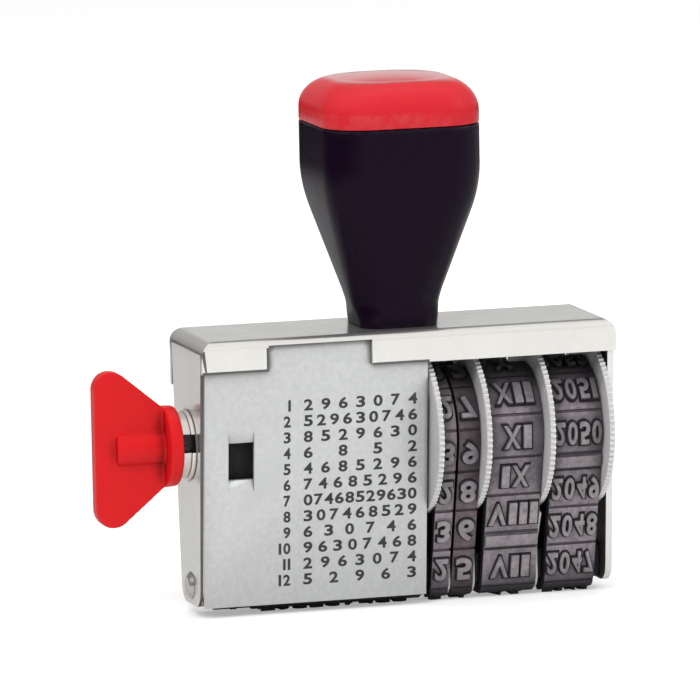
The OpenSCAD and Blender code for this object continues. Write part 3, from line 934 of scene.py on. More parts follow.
# A dark film round the foot of each figure: old ink, and painted shade round the raised type.
INK_SHADE_FILM = TypeRubber("ink_and_shade_film", (0.014, 0.012, 0.014), (0.007, 0.006, 0.007), roughness=0.60, edge=0.1)
INK = PrintedInk("list_ink", (0.012, 0.012, 0.014), (0.040, 0.040, 0.043), roughness=0.42)


# Sub-assemblies


@dataclass
class Piece:
    """What a finished piece stands for in the frame."""

    obj: Object
    body: str
    slot: str
    nodes: tuple[str, ...] = ()

    def fit(self, finish: Optional[Finish] = None) -> None:
        """Ties the piece to its body and the nodes that it replaces.

        Args:
            finish: The finish, where the piece isn't dressed yet.
        """
        if finish:
            finish.dress(self.obj)
        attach(self.obj, self.body)
        if self.nodes:
            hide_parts(*self.nodes)
        LOG.info("%s rides on %s: %d faces", self.obj.name, self.body, len(self.obj.data.polygons))


@dataclass
class Grip:
    """Moulded grip on the frame's top, and the red cap on the grip."""

    grip_width: float = 22.6
    grip_corner: float = 6.0
    corner_share: float = 0.44
    neck_width: float = 11.0
    neck_corner: float = 2.8
    neck_height: float = 0.6
    round_reach: float = 3.0
    shoulder_height: float = 19.6
    shoulder_blend: float = 0.18
    neck_blend: float = 0.08
    grip_height: float = 28.5
    cap_height: float = 6.7
    cap_round: float = 4.2
    cap_side: float = 0.7
    cap_crown: float = 0.5
    crown_rings: tuple[float, ...] = (0.92, 0.78, 0.6, 0.4, 0.2)
    seam: float = 0.10
    seam_gap: float = 0.005
    seam_inset: float = 0.60
    rings: int = 56
    cap_steps: int = 16
    corner_steps: int = 10
    merge: float = 0.0005

    def share(self, h: float) -> float:
        """Finds the share of the way from the neck to the full grip, with both ends blended.

        Args:
            h: Height above the frame.

        Returns:
            The share, from 0 at the neck to 1 at the shoulder.
        """
        t = (h - self.neck_height) / (self.shoulder_height - self.neck_height)
        low = max(t, 0.0) + max(self.neck_blend - abs(t), 0.0) ** 2 / (4.0 * self.neck_blend)
        past = max(self.shoulder_blend - abs(low - 1.0), 0.0)
        return min(low, 1.0) - past ** 2 / (4.0 * self.shoulder_blend)

    def width(self, h: float) -> float:
        """Width of the grip at a height above the frame."""
        return self.neck_width + (self.grip_width - self.neck_width) * self.share(h)

    def corner(self, h: float) -> float:
        """Finds the corner radius, which opens out just above the neck.

        Args:
            h: Height above the frame.

        Returns:
            The radius.
        """
        full = min(self.grip_corner, self.corner_share * self.width(h))
        turn = max(0.0, min(1.0, (h - self.neck_height) / self.round_reach))
        return self.neck_corner + (full - self.neck_corner) * turn * turn * (3.0 - 2.0 * turn)

    def ring(self, width: float, corner: float, z: float) -> None:
        """Adds, in edit mode, a square ring with rounded corners.

        Args:
            width: Width over the flats.
            corner: Corner radius.
            z: Height.
        """
        bpy.ops.mesh.primitive_plane_add(size=mm(width), location=(0.0, 0.0, mm(z)))
        bpy.ops.mesh.bevel(offset=mm(corner), offset_type="OFFSET", segments=self.corner_steps,
                           affect="VERTICES", profile=0.5, clamp_overlap=True)
        bpy.ops.mesh.delete(type="ONLY_FACE")

    def loft(self, name: str, stations: Sequence[tuple[float, float, float]]) -> Object:
        """Bridges a stack of rounded square rings and closes both ends.

        Args:
            name: The new object's name.
            stations: Width, corner radius and height of each ring, from below.

        Returns:
            The closed form.
        """
        near = mm(self.merge)
        heights = [mm(z) for _, _, z in stations]
        Bench.clear()
        bpy.ops.mesh.primitive_plane_add(size=mm(stations[0][0]), location=(0.0, 0.0, heights[0]))
        obj = Bench.taken(name)
        Bench.settle(obj)
        with Bench.editing(obj, Pick.VERTEX):
            bpy.ops.mesh.delete(type="VERT")
            for width, corner, z in stations:
                self.ring(width, corner, z)
            for low, high in zip(heights, heights[1:]):
                Bench.pick(obj, Pick.EDGE, lambda a, b: abs(a.z - b.z) < near
                           and min(abs(a.z - low), abs(a.z - high)) < near)
                bpy.ops.mesh.bridge_edge_loops()
            for end in (heights[0], heights[-1]):
                Bench.pick(obj, Pick.EDGE, lambda a, b: abs(a.z - end) < near and abs(b.z - end) < near)
                bpy.ops.mesh.edge_face_add()
        Bench.outward(obj, self.merge)
        Bench.smooth(obj)
        return obj

    def build_handle(self) -> Object:
        """Lofts the grip from its neck to the seam below the cap.

        Returns:
            The grip.
        """
        top = STAMP.frame_top
        stations = []
        for i in range(self.rings + 1):
            h = (self.grip_height - 2.0 * self.seam) * i / self.rings
            stations.append((self.width(h), self.corner(h), top + h))
        edge = self.grip_height - self.seam
        width, corner = self.width(edge), self.corner(edge)
        stations.append((width - self.seam, corner, top + edge))
        stations.append((width - self.seam_inset, corner, top + self.grip_height))
        return self.loft("grip", stations)

    def build_cap(self) -> Object:
        """Lofts the cap with its soft edge and crowned top.

        Returns:
            The cap.
        """
        wide, corner = self.grip_width, self.grip_corner
        seam = STAMP.frame_top + self.grip_height
        rise = self.cap_height - self.cap_crown
        edge = rise * self.cap_side
        stations = [(wide - self.seam_inset, corner, seam + self.seam_gap),
                    (wide - self.seam, corner, seam + self.seam), (wide, corner, seam + 2.0 * self.seam)]
        for i in range(self.cap_steps + 1):
            a = QUARTER * i / self.cap_steps
            inset = self.cap_round * (1.0 - math.cos(a))
            stations.append((wide - 2.0 * inset, corner, seam + rise - edge + edge * math.sin(a)))
        flat = wide - 2.0 * self.cap_round
        for share in self.crown_rings:
            lift = self.cap_crown * (1.0 - share * share)
            stations.append((flat * share, corner * share, seam + rise + lift))
        return self.loft("grip_cap", stations)

    def build(self) -> None:
        """Builds and dresses the grip and its cap."""
        Piece(self.build_handle(), "frame", "black_plastic", ("handle",)).fit(BLACK_GRIP)
        Piece(self.build_cap(), "frame", "red_plastic", ("handle_cap",)).fit(RED_CAP)


@dataclass
class WingKnob:
    """Red wing knob on the shaft's left end, with the polished collar and bush behind it."""

    collar_sheet: float = 1.9
    collar_diameter: float = 11.3
    collar_faces: int = 96
    wing_length: float = 9.8
    wing_root: float = 11.2
    wing_slope: float = 40.0
    wing_corner: float = 2.5
    wing_steps: int = 14
    wing_profile: float = 0.42
    wing_thickness: float = 2.4
    hub_diameter: float = 5.2
    hub_setback: float = 2.9
    hub_faces: int = 64
    ease: float = 0.45
    ease_steps: int = 4
    voxel: float = 0.15
    knob_crease: float = 60.0
    flat_x: Span = (-31.75, -30.1)
    flat_z: Span = (23.55, 26.1)
    flat_floor: float = -3.6
    flat_cut: float = 6.0
    metal_ease: float = 0.12

    @property
    def right(self) -> float:
        """Right face of the knob's collar."""
        return STAMP.span("knob")[1]

    def build_wing(self) -> Object:
        """Shapes the wing from a block: tapered towards the collar, its outer corners rounded.

        Returns:
            The wing.
        """
        near = 1e-6
        root = self.right - self.collar_sheet
        left = root - self.wing_length
        inner = root + self.collar_sheet / 2.0
        slope = math.radians(self.wing_slope)
        tip = self.wing_root + 2.0 * self.wing_length * math.tan(slope)
        tangent = self.wing_corner / math.tan((QUARTER - slope) / 2.0)
        wing = Bench.block("wing", (inner - root, self.wing_thickness, self.wing_root),
                           ((inner + root) / 2.0, 0.0, STAMP.axle))
        with Bench.editing(wing):
            Bench.pick(wing, Pick.FACE, lambda c, n: n.x < -FACING)
            bpy.ops.mesh.extrude_region_move(TRANSFORM_OT_translate={"value": (mm(left - root), 0.0, 0.0)})
            bpy.ops.transform.resize(value=(1.0, 1.0, tip / self.wing_root),
                                     center_override=(mm(left), 0.0, mm(STAMP.axle)))
            Bench.pick(wing, Pick.EDGE, lambda a, b: abs(a.x - mm(left)) < near
                       and abs(b.x - mm(left)) < near and abs(a.z - b.z) < near)
            bpy.ops.mesh.bevel(offset=mm(tangent), offset_type="OFFSET", segments=self.wing_steps,
                               affect="EDGES", profile=self.wing_profile)
        return wing

    def build_round(self, name: str, left: float, right: float, diameter: float, faces: int) -> Object:
        """Turns a round part of the knob, with its left end eased, and its right one too where it shows.

        Args:
            name: The part's name.
            left: Where it begins.
            right: Where it ends.
            diameter: Its diameter.
            faces: Number of faces round it.

        Returns:
            The part.
        """
        Bench.clear()
        bpy.ops.mesh.primitive_cylinder_add(
            vertices=faces, radius=mm(diameter / 2.0), depth=mm(right - left), rotation=(0.0, QUARTER, 0.0),
            location=(mm((left + right) / 2.0), 0.0, mm(STAMP.axle)))
        part = Bench.taken(name)
        Bench.settle(part)
        shows = right >= self.right
        with Bench.editing(part):
            Bench.pick(part, Pick.FACE, lambda c, n: n.x < -FACING or (shows and n.x > FACING))
            bpy.ops.mesh.bevel(offset=mm(self.ease), segments=self.ease_steps, affect="EDGES", profile=0.5)
        return part

    def build_knob(self) -> Object:
        """Unites wing, rib and collar and softens the moulding as one form.

        Returns:
            The knob.
        """
        root = self.right - self.collar_sheet
        knob = self.build_wing()
        hub = self.build_round("hub", root - self.wing_length + self.hub_setback,
                               self.right - self.collar_sheet / 2.0, self.hub_diameter, self.hub_faces)
        collar = self.build_round("collar", root, self.right, self.collar_diameter, self.collar_faces)
        for other in (hub, collar):
            Bench.combine(knob, other, "UNION")
        Bench.finish(knob, "REMESH", mode="VOXEL", voxel_size=mm(self.voxel), use_smooth_shade=True)
        Bench.finish(knob, "SMOOTH", factor=0.5, iterations=6)
        Bench.smooth(knob, self.knob_crease)
        return Bench.taken("wing_knob")

    def cut_flat(self, turned: Object) -> None:
        """Cuts the dark flat round the set screw into the front of a turned piece.

        Args:
            turned: The piece, already dressed.
        """
        (left, right), (foot, top) = self.flat_x, self.flat_z
        front = self.flat_floor - self.flat_cut
        cutter = Bench.block("flat_cutter", (right - left, self.flat_cut, top - foot),
                             ((left + right) / 2.0, (front + self.flat_floor) / 2.0, (foot + top) / 2.0))
        DARK_STEEL.dress(cutter)
        Bench.combine(turned, cutter, "DIFFERENCE", material_mode="TRANSFER")

    def build(self) -> None:
        """Builds and dresses the knob and the turned pieces behind it."""
        Piece(self.build_knob(), "phrase_drive", "red_plastic", ("knob",)).fit(RED_KNOB)
        for node, name, body in (("thrust_collar", "turned_collar", "phrase_drive"),
                                 ("knob_bush", "turned_bush", "frame"),
                                 ("shaft_bush", "right_bush", "frame")):
            turned = Bench.eased_copy(node, name, self.metal_ease, 3)
            BRIGHT.dress(turned)
            if node != "shaft_bush":
                self.cut_flat(turned)
            Piece(turned, body, "nickel_steel", (node,)).fit()


@dataclass(frozen=True)
class Figure:
    """A plain figure that lies flat on z = 0, centred, and rises by its depth; sizes are in millimetres.

    The slope is the width of a bevel round its edges. The weight says how far its strokes are thickened, as a
    share of the font's size. Each figure is modelled once and then copied.
    """

    text: str
    width: float
    height: float
    depth: float
    slope: float = 0.0
    weight: float = 0.026
    curve_steps: int = 4
    merge: float = 0.0005

    def put(self, place: Matrix) -> Object:
        """Puts a copy of the figure in its place.

        Args:
            place: The place, in metres.

        Returns:
            The copy.
        """
        if self not in PATTERNS:
            pattern = self.model()
            PATTERNS[self] = pattern.data
            Bench.discard(pattern)
        return Bench.copy(PATTERNS[self], "figure", place)

    def model(self) -> Object:
        """Models the figure from Blender's own font.

        Returns:
            The figure.
        """
        Bench.clear()
        bpy.ops.object.text_add()
        letters = bpy.context.active_object.data
        letters.body = self.text
        letters.resolution_u = self.curve_steps
        letters.offset = self.weight
        letters.extrude = 0.5
        bpy.ops.object.convert(target="MESH")
        obj = Bench.taken("figure")
        low, high = (Vector([end(v.co[i] for v in obj.data.vertices) for i in range(3)])
                     for end in (min, max))
        span = high - low
        scales = [mm(size) / full for size, full in zip((self.width, self.height, self.depth), span)]
        middle = Vector(((low.x + high.x) / 2.0, (low.y + high.y) / 2.0, low.z))
        obj.data.transform(Matrix.Diagonal((*scales, 1.0)) @ Matrix.Translation(-middle))
        Bench.outward(obj, self.merge)
        if self.slope:
            Bench.ease(obj, self.slope, 1, Bench.sharp)
        return obj


PATTERNS: dict[Figure, bpy.types.Mesh] = {}


@dataclass
class FrameShell:
    """Folded frame, cover plate with its printed list, rivets and guides."""

    frame_ease: float = 0.10
    cover_ease: float = 0.06
    rivet_ease: float = 0.10
    guide_ease: float = 0.05
    cut_line: float = 0.42
    cover_reach: float = 0.52
    cover_skin: float = 0.15
    cover_rim: float = 0.12
    # burr, burr_left and burr_slant place thin painted shadow lines on the front flange, along its foot and
    # its ends.
    burr: float = 0.34
    burr_left: float = -29.62
    burr_slant: float = 0.115
    bend: float = 1.3
    inside_drop: float = 2.4
    front_normal: float = -0.5
    edge_normal: float = 0.4
    foot_normal: float = -0.7
    flange_break: float = -20.4
    tall_guide: float = 12.4
    guide_spread: float = 1.72
    guide_corner: Span = (1.0, 0.4)
    guide_normal: float = 0.3
    number_right: float = -17.05
    number_width: float = 1.0
    slim_width: float = 0.36
    number_gap: float = 0.32
    row_left: float = -15.15
    row_right: float = 1.25
    first_row: float = 29.7
    row_pitch: float = 2.26
    figure_width: float = 1.28
    figure_fill: float = 0.84
    figure_height: float = 1.6
    ink: float = 0.02
    ink_gap: float = 0.004
    row_lengths: tuple[int, ...] = (7, 9, 7, 4, 7, 8, 11, 9, 6, 8, 7, 5)

    def build_list(self) -> Object:
        """Prints the numbered list: a number for each setting, and a row of plain figures beside it.

        Returns:
            The ink as one piece.
        """
        parts = []
        for row, count in enumerate(self.row_lengths):
            z = self.first_row - row * self.row_pitch
            x = self.number_right
            for sign in reversed(str(row + 1)):
                wide = self.slim_width if sign == "1" else self.number_width
                parts.append(self.print_figure(sign, x - wide / 2.0, z, wide))
                x -= wide + self.number_gap
            step = (self.row_right - self.row_left - self.figure_width) / (count - 1)
            wide = min(self.figure_width, step * self.figure_fill)
            first = self.row_left + self.figure_width / 2.0
            for i in range(count):
                parts.append(self.print_figure(plain_figure(3 * row, i), first + i * step, z, wide))
        return Bench.join("cover_list", parts)

    def print_figure(self, text: str, x: float, z: float, width: float) -> Object:
        """Prints one figure on the leaning face of the cover plate.

        Args:
            text: The figure.
            x: Its middle along the frame.
            z: Its middle height.
            width: Its width.

        Returns:
            The figure as a mesh.
        """
        lean = Matrix.Rotation(QUARTER + STAMP.cover_lean, 4, "X")
        spot = Matrix.Translation(mm(STAMP.on_cover(x, z, self.ink_gap)))
        return Figure(text, round(width, 3), self.figure_height, self.ink).put(spot @ lean)

    def on_burr(self, x: float, z: float) -> bool:
        """Tells whether a spot on the front flange lies on a painted shadow line along its foot or one of its
        ends.

        Args:
            x: Place along the frame.
            z: Height.

        Returns:
            Whether it is.
        """
        left = self.burr_left + (STAMP.flange_foot - z) * self.burr_slant
        along_foot = z < STAMP.flange_foot + self.burr and x < STAMP.span("cover_plate")[1]
        return along_foot or 0.0 < x - left < self.burr or 0.0 < self.flange_break - x < self.burr

    def is_cut(self, c: Vector, n: Vector) -> bool:
        """Tells whether a face of the frame is a cut edge, a painted shadow line or the inside of an end
        plate, which is painted dark as shade.

        Args:
            c: The face's centre, in metres.
            n: Its normal.

        Returns:
            Whether it is.
        """
        near, hair = 0.05, 0.02
        x, y, z = (to_mm(v) for v in c)
        # Faces on the flange's front are dark only along the painted shadow lines.
        if -y > STAMP.inner_depth + STAMP.sheet - 3.0 * near and n.y < self.front_normal:
            return z < STAMP.frame_top - self.bend and self.on_burr(x, z)
        in_flange = abs(y) > STAMP.inner_depth - near
        in_line = -STAMP.half_length + near < x < self.cut_line - STAMP.half_length
        # end_edge takes the end plates' front cut edges, dark as cut metal and as the painted shade of the
        # seam beside the cover; shaded_inside takes their insides, painted dark as shade.
        end_edge = in_line and abs(n.x) < self.edge_normal and not in_flange
        shaded_inside = abs(abs(x) - STAMP.half_length + STAMP.sheet) < hair and n.x * x < -FACING * abs(x)
        foot_edge = in_flange and n.z < self.foot_normal
        return ((end_edge or shaded_inside) and z < STAMP.frame_top - self.inside_drop) or foot_edge

    def shear_edges(self, shell: Object) -> None:
        """Gives the cut edges a dark unplated look, paints the insides of the end plates dark as shade, and
        paints thin shadow lines on the flange's front along its foot and ends.

        The cuts for these shadow lines split the large faces, so the shading is weighted by area afterwards.

        Args:
            shell: The frame, already plated.
        """
        upright, level, slanted = (1.0, 0.0, 0.0), (0.0, 0.0, 1.0), (1.0, 0.0, self.burr_slant)
        foot = STAMP.flange_foot
        planes = [((x, 0.0, 0.0), upright) for x in (self.cut_line - STAMP.half_length,
                                                     self.flange_break - self.burr,
                                                     STAMP.span("cover_plate")[1])]
        planes.append(((0.0, 0.0, foot + self.burr), level))
        planes += [((x, 0.0, foot), slanted) for x in (self.burr_left, self.burr_left + self.burr)]
        shell.data.materials.append(CUT_EDGE_AND_SHADE.material())
        with Bench.editing(shell):
            for spot, normal in planes:
                bpy.ops.mesh.select_all(action="SELECT")
                bpy.ops.mesh.bisect(plane_co=[mm(v) for v in spot], plane_no=normal)
            Bench.pick(shell, Pick.FACE, self.is_cut)
            shell.active_material_index = 1
            bpy.ops.object.material_slot_assign()
        Bench.finish(shell, "WEIGHTED_NORMAL", mode="FACE_AREA", weight=90, keep_sharp=True)

    def close_slit(self, cover: Object) -> None:
        """Draws the outer left edge of the cover plate over the end plate's edge.

        Args:
            cover: The cover plate.
        """
        left = mm(STAMP.span("cover_plate")[0] + self.cover_rim)

        def is_outer(p: Vector) -> bool:
            """Tells whether a point lies on the outer left rim."""
            face = STAMP.on_cover(0.0, min(to_mm(p.z), STAMP.flange_foot)).y
            return p.x < left and p.y < mm(face + self.cover_skin)

        with Bench.editing(cover, Pick.EDGE):
            Bench.pick(cover, Pick.EDGE, lambda a, b: is_outer(a) and is_outer(b))
            bpy.ops.transform.translate(value=(mm(-self.cover_reach), 0.0, 0.0))

    def raise_guide(self, guides: Object) -> None:
        """Draws the rightmost guide plate up along the band, to just below the disc above it.

        Args:
            guides: The guide plates.
        """
        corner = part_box("band_guides")[1]
        right, top = corner.x - mm(self.guide_corner[0]), corner.z - mm(self.guide_corner[1])
        with Bench.editing(guides):
            Bench.pick(guides, Pick.FACE,
                       lambda c, n: c.x > right and c.z > top and n.z > self.guide_normal)
            bpy.ops.transform.translate(value=(0.0, 0.0, mm(self.tall_guide) - corner.z))
            bpy.ops.transform.resize(value=(1.0, self.guide_spread, 1.0), center_override=(0.0, 0.0, 0.0))

    def build(self) -> None:
        """Builds and dresses the sheet-metal pieces and the list."""
        plan = (("frame", "folded_frame", NICKEL, "nickel_steel", self.frame_ease, self.shear_edges),
                ("cover_plate", "leaning_cover", COVER, "cover_aluminium", self.cover_ease, self.close_slit),
                ("bridge_rivets", "rivet_heads", RIVET, "nickel_steel", self.rivet_ease, None),
                ("band_guides", "guide_plates", GUIDE, "nickel_steel", self.guide_ease, self.raise_guide))
        for node, name, finish, slot, ease, detail in plan:
            piece = Bench.eased_copy(node, name, ease)
            finish.dress(piece)
            if detail:
                detail(piece)
            Piece(piece, "frame", slot, (node,)).fit()
        Piece(self.build_list(), "frame", "black_plastic").fit(INK)


@dataclass(frozen=True)
class Cell:
    """One stretch of a band between two grooves."""

    middle: float
    length: float
    line: str
    is_bar: bool = False


@dataclass
class TypeBand:
    """Endless rubber band over a drum and the bridge bar, with a line of type in each cell."""

    node: str
    drum_radius: float
    lines: tuple[str, ...]
    type_height: float
    figure_width: float
    bar_after: int = 0
    bar: float = 0.0
    index_strip: float = 0.0
    weight: float = 0.035
    slope: float = 0.09
    sunk: float = 0.16
    # stain, stain_weight and stain_rise size the dark film of old ink and painted shade round each figure.
    stain: float = 0.27
    stain_weight: float = 0.06
    stain_rise: float = 0.02
    gap: float = 0.32
    slim: float = 0.46
    bed: float = 0.24
    bed_sunk: float = 0.05
    bed_ease: float = 0.07
    margin: float = 0.05
    bed_finish: TypeRubber = BED
    groove: float = 0.42
    groove_depth: float = 2.0
    groove_lift: float = 0.01
    groove_room: float = 2.0
    bar_room: float = 0.3
    bar_ease: float = 0.14
    mark_width: float = 0.9
    mark_height: float = 2.0
    mark_depth: float = 0.3
    mark_slope: float = 0.06
    mark_sunk: float = 0.1
    mark_place: float = 3.0
    merge: float = 0.004
    type_merge: float = 0.0002
    type_crease: float = 30.0
    drum_steps: int = 44
    edge_steps: int = 8

    def __post_init__(self) -> None:
        """Takes the band's place along X from its CAD node and works out its loop."""
        self.left, self.right = STAMP.span(self.node)
        self.width = self.right - self.left
        self.middle = (self.left + self.right) / 2.0
        self.inner = self.drum_radius + STAMP.band_clearance
        self.edge_y = STAMP.bridge_depth / 2.0 - STAMP.bridge_edge
        self.edge_z = STAMP.type_raise + STAMP.band_thickness + STAMP.bridge_edge
        drop = STAMP.axle - self.edge_z
        reach = math.hypot(self.edge_y, drop)
        self.dip = math.asin((self.inner - STAMP.bridge_edge) / reach) - math.atan2(self.edge_y, drop)
        self.straight = math.sqrt(reach ** 2 - (self.inner - STAMP.bridge_edge) ** 2)

    def stretches(self) -> tuple[float, float, float, float]:
        """Gives the lengths of half a loop at mid-thickness: flat, edge, straight and drum."""
        mid = STAMP.band_thickness / 2.0
        return (self.edge_y, (STAMP.bridge_edge + mid) * (QUARTER - self.dip), self.straight,
                (self.inner + mid) * (QUARTER + self.dip))

    def place(self, s: float, lift: float) -> Matrix:
        """Finds the frame of a spot on the band, counted from the middle of the bottom towards the front.

        Args:
            s: Length along the band at mid-thickness, positive towards the front.
            lift: Height above the band's outer face.

        Returns:
            A matrix that takes text (right, up, out) to its mirrored place on the band, in metres.
        """
        flat, edge, straight, _ = self.stretches()
        mid = STAMP.band_thickness / 2.0
        run = abs(s)
        if run <= flat:
            y, z, a = run, self.edge_z - STAMP.bridge_edge, -QUARTER
        elif run <= flat + edge:
            a = -QUARTER + (run - flat) / (STAMP.bridge_edge + mid)
            y = self.edge_y + STAMP.bridge_edge * math.cos(a)
            z = self.edge_z + STAMP.bridge_edge * math.sin(a)
        elif run <= flat + edge + straight:
            a = -self.dip
            along = run - flat - edge
            y = self.edge_y + STAMP.bridge_edge * math.cos(a) + along * math.sin(self.dip)
            z = self.edge_z + STAMP.bridge_edge * math.sin(a) + along * math.cos(self.dip)
        else:
            a = -self.dip + (run - flat - edge - straight) / (self.inner + mid)
            y = self.inner * math.cos(a)
            z = STAMP.axle + self.inner * math.sin(a)
        side = -1.0 if s >= 0.0 else 1.0
        out = Vector((0.0, side * math.cos(a), math.sin(a)))
        up = Vector((0.0, -math.sin(a), side * math.cos(a))) if run else Vector((0.0, 1.0, 0.0))
        spot = Vector((self.middle, side * y, z)) + out * (STAMP.band_thickness + lift)
        turn = Matrix((Vector((1.0, 0.0, 0.0)), up, out)).transposed().to_4x4()
        return Matrix.Translation(mm(spot)) @ turn

    def cells(self) -> list[Cell]:
        """Shares the loop out among the lines of type and the blank bar.

        Returns:
            The cells, with the printing one first.
        """
        count = len(self.lines)
        pitch = (2.0 * sum(self.stretches()) - self.bar) / count
        found, s = [Cell(0.0, pitch, self.lines[0])], pitch / 2.0
        for i in range(1, count // 2 + 1):
            if self.bar and i == self.bar_after + 1:
                found.append(Cell(s + self.bar / 2.0, self.bar, "", True))
                s += self.bar
            found.append(Cell(s + pitch / 2.0, pitch, self.lines[i]))
            s += pitch
        found += [Cell((i - count) * pitch, pitch, self.lines[i]) for i in range(count // 2 + 1, count)]
        return found

    def draw_loop(self, name: str, width: float, offset: float, thickness: float,
                  shift: float = 0.0) -> Object:
        """Draws a flat section round the bridge edges and the drum by extruding and spinning it.

        Args:
            name: The new object's name.
            width: Width along X.
            offset: Distance of the section from the band's inner face.
            thickness: Its thickness.
            shift: Distance of its middle from the band's middle, along X.

        Returns:
            The closed loop.
        """
        bottom = self.edge_z - STAMP.bridge_edge - offset - thickness / 2.0
        Bench.clear()
        bpy.ops.mesh.primitive_plane_add(size=1.0, rotation=(QUARTER, 0.0, 0.0))
        loop = Bench.taken(name)
        loop.scale = (mm(width), mm(thickness), 1.0)
        loop.location = (mm(self.middle + shift), 0.0, mm(bottom))
        Bench.settle(loop)
        flat = (0.0, mm(self.edge_y), 0.0)
        rise, fall = (Vector((0.0, math.sin(self.dip), way * math.cos(self.dip))) * mm(self.straight)
                      for way in (1.0, -1.0))
        edge_turn = QUARTER - self.dip
        with Bench.editing(loop):
            self.draw(flat)
            self.turn(self.edge_steps, edge_turn, self.edge_y, self.edge_z)
            self.draw(rise)
            self.turn(self.drum_steps, math.pi + 2.0 * self.dip, 0.0, STAMP.axle)
            self.draw(fall)
            self.turn(self.edge_steps, edge_turn, -self.edge_y, self.edge_z)
            self.draw(flat)
            bpy.ops.mesh.delete(type="ONLY_FACE")
        Bench.outward(loop, self.merge)
        with Bench.editing(loop):
            bpy.ops.mesh.select_all(action="DESELECT")
            bpy.ops.mesh.select_interior_faces()
            bpy.ops.mesh.delete(type="ONLY_FACE")
        Bench.outward(loop, self.merge)
        return loop

    @staticmethod
    def draw(way: Sequence[float]) -> None:
        """Extrudes the selected section along a way."""
        bpy.ops.mesh.extrude_region_move(TRANSFORM_OT_translate={"value": tuple(way)})

    @staticmethod
    def turn(steps: int, angle: float, y: float, z: float) -> None:
        """Spins the selected section about an axis along X."""
        bpy.ops.mesh.spin(steps=steps, angle=angle, axis=(-1.0, 0.0, 0.0), center=(0.0, mm(y), mm(z)))

    def build_beds(self, cells: Sequence[Cell]) -> Object:
        """Draws the low bed under the type and cuts a groove between neighbouring cells.

        Args:
            cells: The band's cells.

        Returns:
            The beds as one piece.
        """
        beds = self.draw_loop(self.node + "_beds", self.width - 2.0 * self.margin - self.index_strip,
                              STAMP.band_thickness - self.bed_sunk, self.bed + self.bed_sunk,
                              self.index_strip / 2.0)
        blade = Bench.block("blade", (self.width + self.groove_room, self.groove, self.groove_depth),
                            (0.0, 0.0, self.groove_depth / 2.0 + self.groove_lift))
        starts = [self.place(cell.middle - cell.length / 2.0, 0.0) for cell in cells]
        cutter = Bench.join("cutter", [Bench.copy(blade.data, "cut", start) for start in starts])
        Bench.discard(blade)
        Bench.outward(cutter)
        Bench.combine(beds, cutter, "DIFFERENCE")
        Bench.ease(beds, self.bed_ease, 2, Bench.sharp)
        Bench.smooth(beds)
        return beds

    def spread(self, line: str) -> list[tuple[str, float, float]]:
        """Spreads the figures of a line over the room beside the index strip.

        Args:
            line: The figures.

        Returns:
            Each figure with its middle, counted from the band's middle, and its width.
        """
        first = self.left + self.index_strip + 4.0 * self.margin
        room = self.right - 4.0 * self.margin - first
        shares = [self.slim if sign in "1I" else 1.0 for sign in line]
        gaps = self.gap * (len(line) - 1)
        full = min((room - gaps) / sum(shares), self.figure_width)
        x = first + (room - full * sum(shares) - gaps) / 2.0 - self.middle
        found = []
        for sign, share in zip(line, shares):
            found.append((sign, x + full * share / 2.0, full * share))
            x += full * share + self.gap
        return found

    def build_bar(self, length: float, depth: float) -> Object:
        """Shapes the blank bar between two cells, with eased upper edges.

        Args:
            length: Its length along the band.
            depth: Its height.

        Returns:
            The bar, lying flat on z = 0.
        """
        bar = Bench.block("bar", (self.width - 4.0 * self.margin, length, depth), (0.0, 0.0, depth / 2.0))
        with Bench.editing(bar):
            Bench.pick(bar, Pick.FACE, lambda c, n: n.z > FACING)
            bpy.ops.mesh.bevel(offset=mm(self.bar_ease), segments=2, affect="EDGES")
        return bar

    def build_mark(self, number: int, cell: Cell) -> Object:
        """Sets the number of a cell on the index strip.

        Args:
            number: The number.
            cell: The cell.

        Returns:
            The number as a mesh.
        """
        text = str(number)
        mark = Figure(text, self.mark_width * len(text), self.mark_height, self.mark_depth, self.mark_slope)
        shift = Matrix.Translation((mm(self.left + self.mark_place - self.middle), 0.0, 0.0))
        return mark.put(self.place(cell.middle, -self.mark_sunk) @ shift)

    def build_type(self, cells: Sequence[Cell]) -> tuple[Object, Object]:
        """Sets raised figures, mirrored for printing, and the blank bar on the beds.

        Args:
            cells: The band's cells.

        Returns:
            The type, and the dark film round the foot of each figure, which is old ink and painted shade.
        """
        depth = STAMP.type_raise - self.bed + self.sunk
        rim = 2.0 * self.stain
        parts, films = [], []
        for number, cell in enumerate(cells, 1):
            spot = self.place(cell.middle, self.bed - self.sunk)
            if cell.is_bar:
                bar = self.build_bar(cell.length - self.groove - self.bar_room, depth)
                bar.data.transform(spot)
                parts.append(bar)
                continue
            for sign, x, wide in self.spread(cell.line):
                place = spot @ Matrix.Translation((mm(x), 0.0, 0.0))
                raised = Figure(sign, round(wide, 3), self.type_height, depth, self.slope, self.weight)
                # The film reaches past the figure to paint the shade round its foot along with the old ink.
                film = Figure(sign, round(wide + rim, 3), self.type_height + rim,
                              self.sunk + self.stain_rise, weight=self.weight + self.stain_weight)
                parts.append(raised.put(place))
                films.append(film.put(place))
            if self.index_strip:
                films.append(self.build_mark(number, cell))
        joined = [Bench.join(self.node + "_type", parts), Bench.join(self.node + "_film", films)]
        for piece in joined:
            Bench.outward(piece, self.type_merge)
            Bench.smooth(piece, self.type_crease)
        return joined[0], joined[1]

    def build(self) -> None:
        """Builds and dresses the band with its beds and type."""
        cells = self.cells()
        belt = self.draw_loop(self.node + "_belt", self.width, 0.0, STAMP.band_thickness)
        Bench.smooth(belt)
        type_face, film = self.build_type(cells)
        beds = self.build_beds(cells)
        Piece(belt, "frame", "rubber", (self.node,)).fit(BELT)
        for piece, finish in ((beds, self.bed_finish), (type_face, TYPE), (film, INK_SHADE_FILM)):
            Piece(piece, "frame", "rubber").fit(finish)


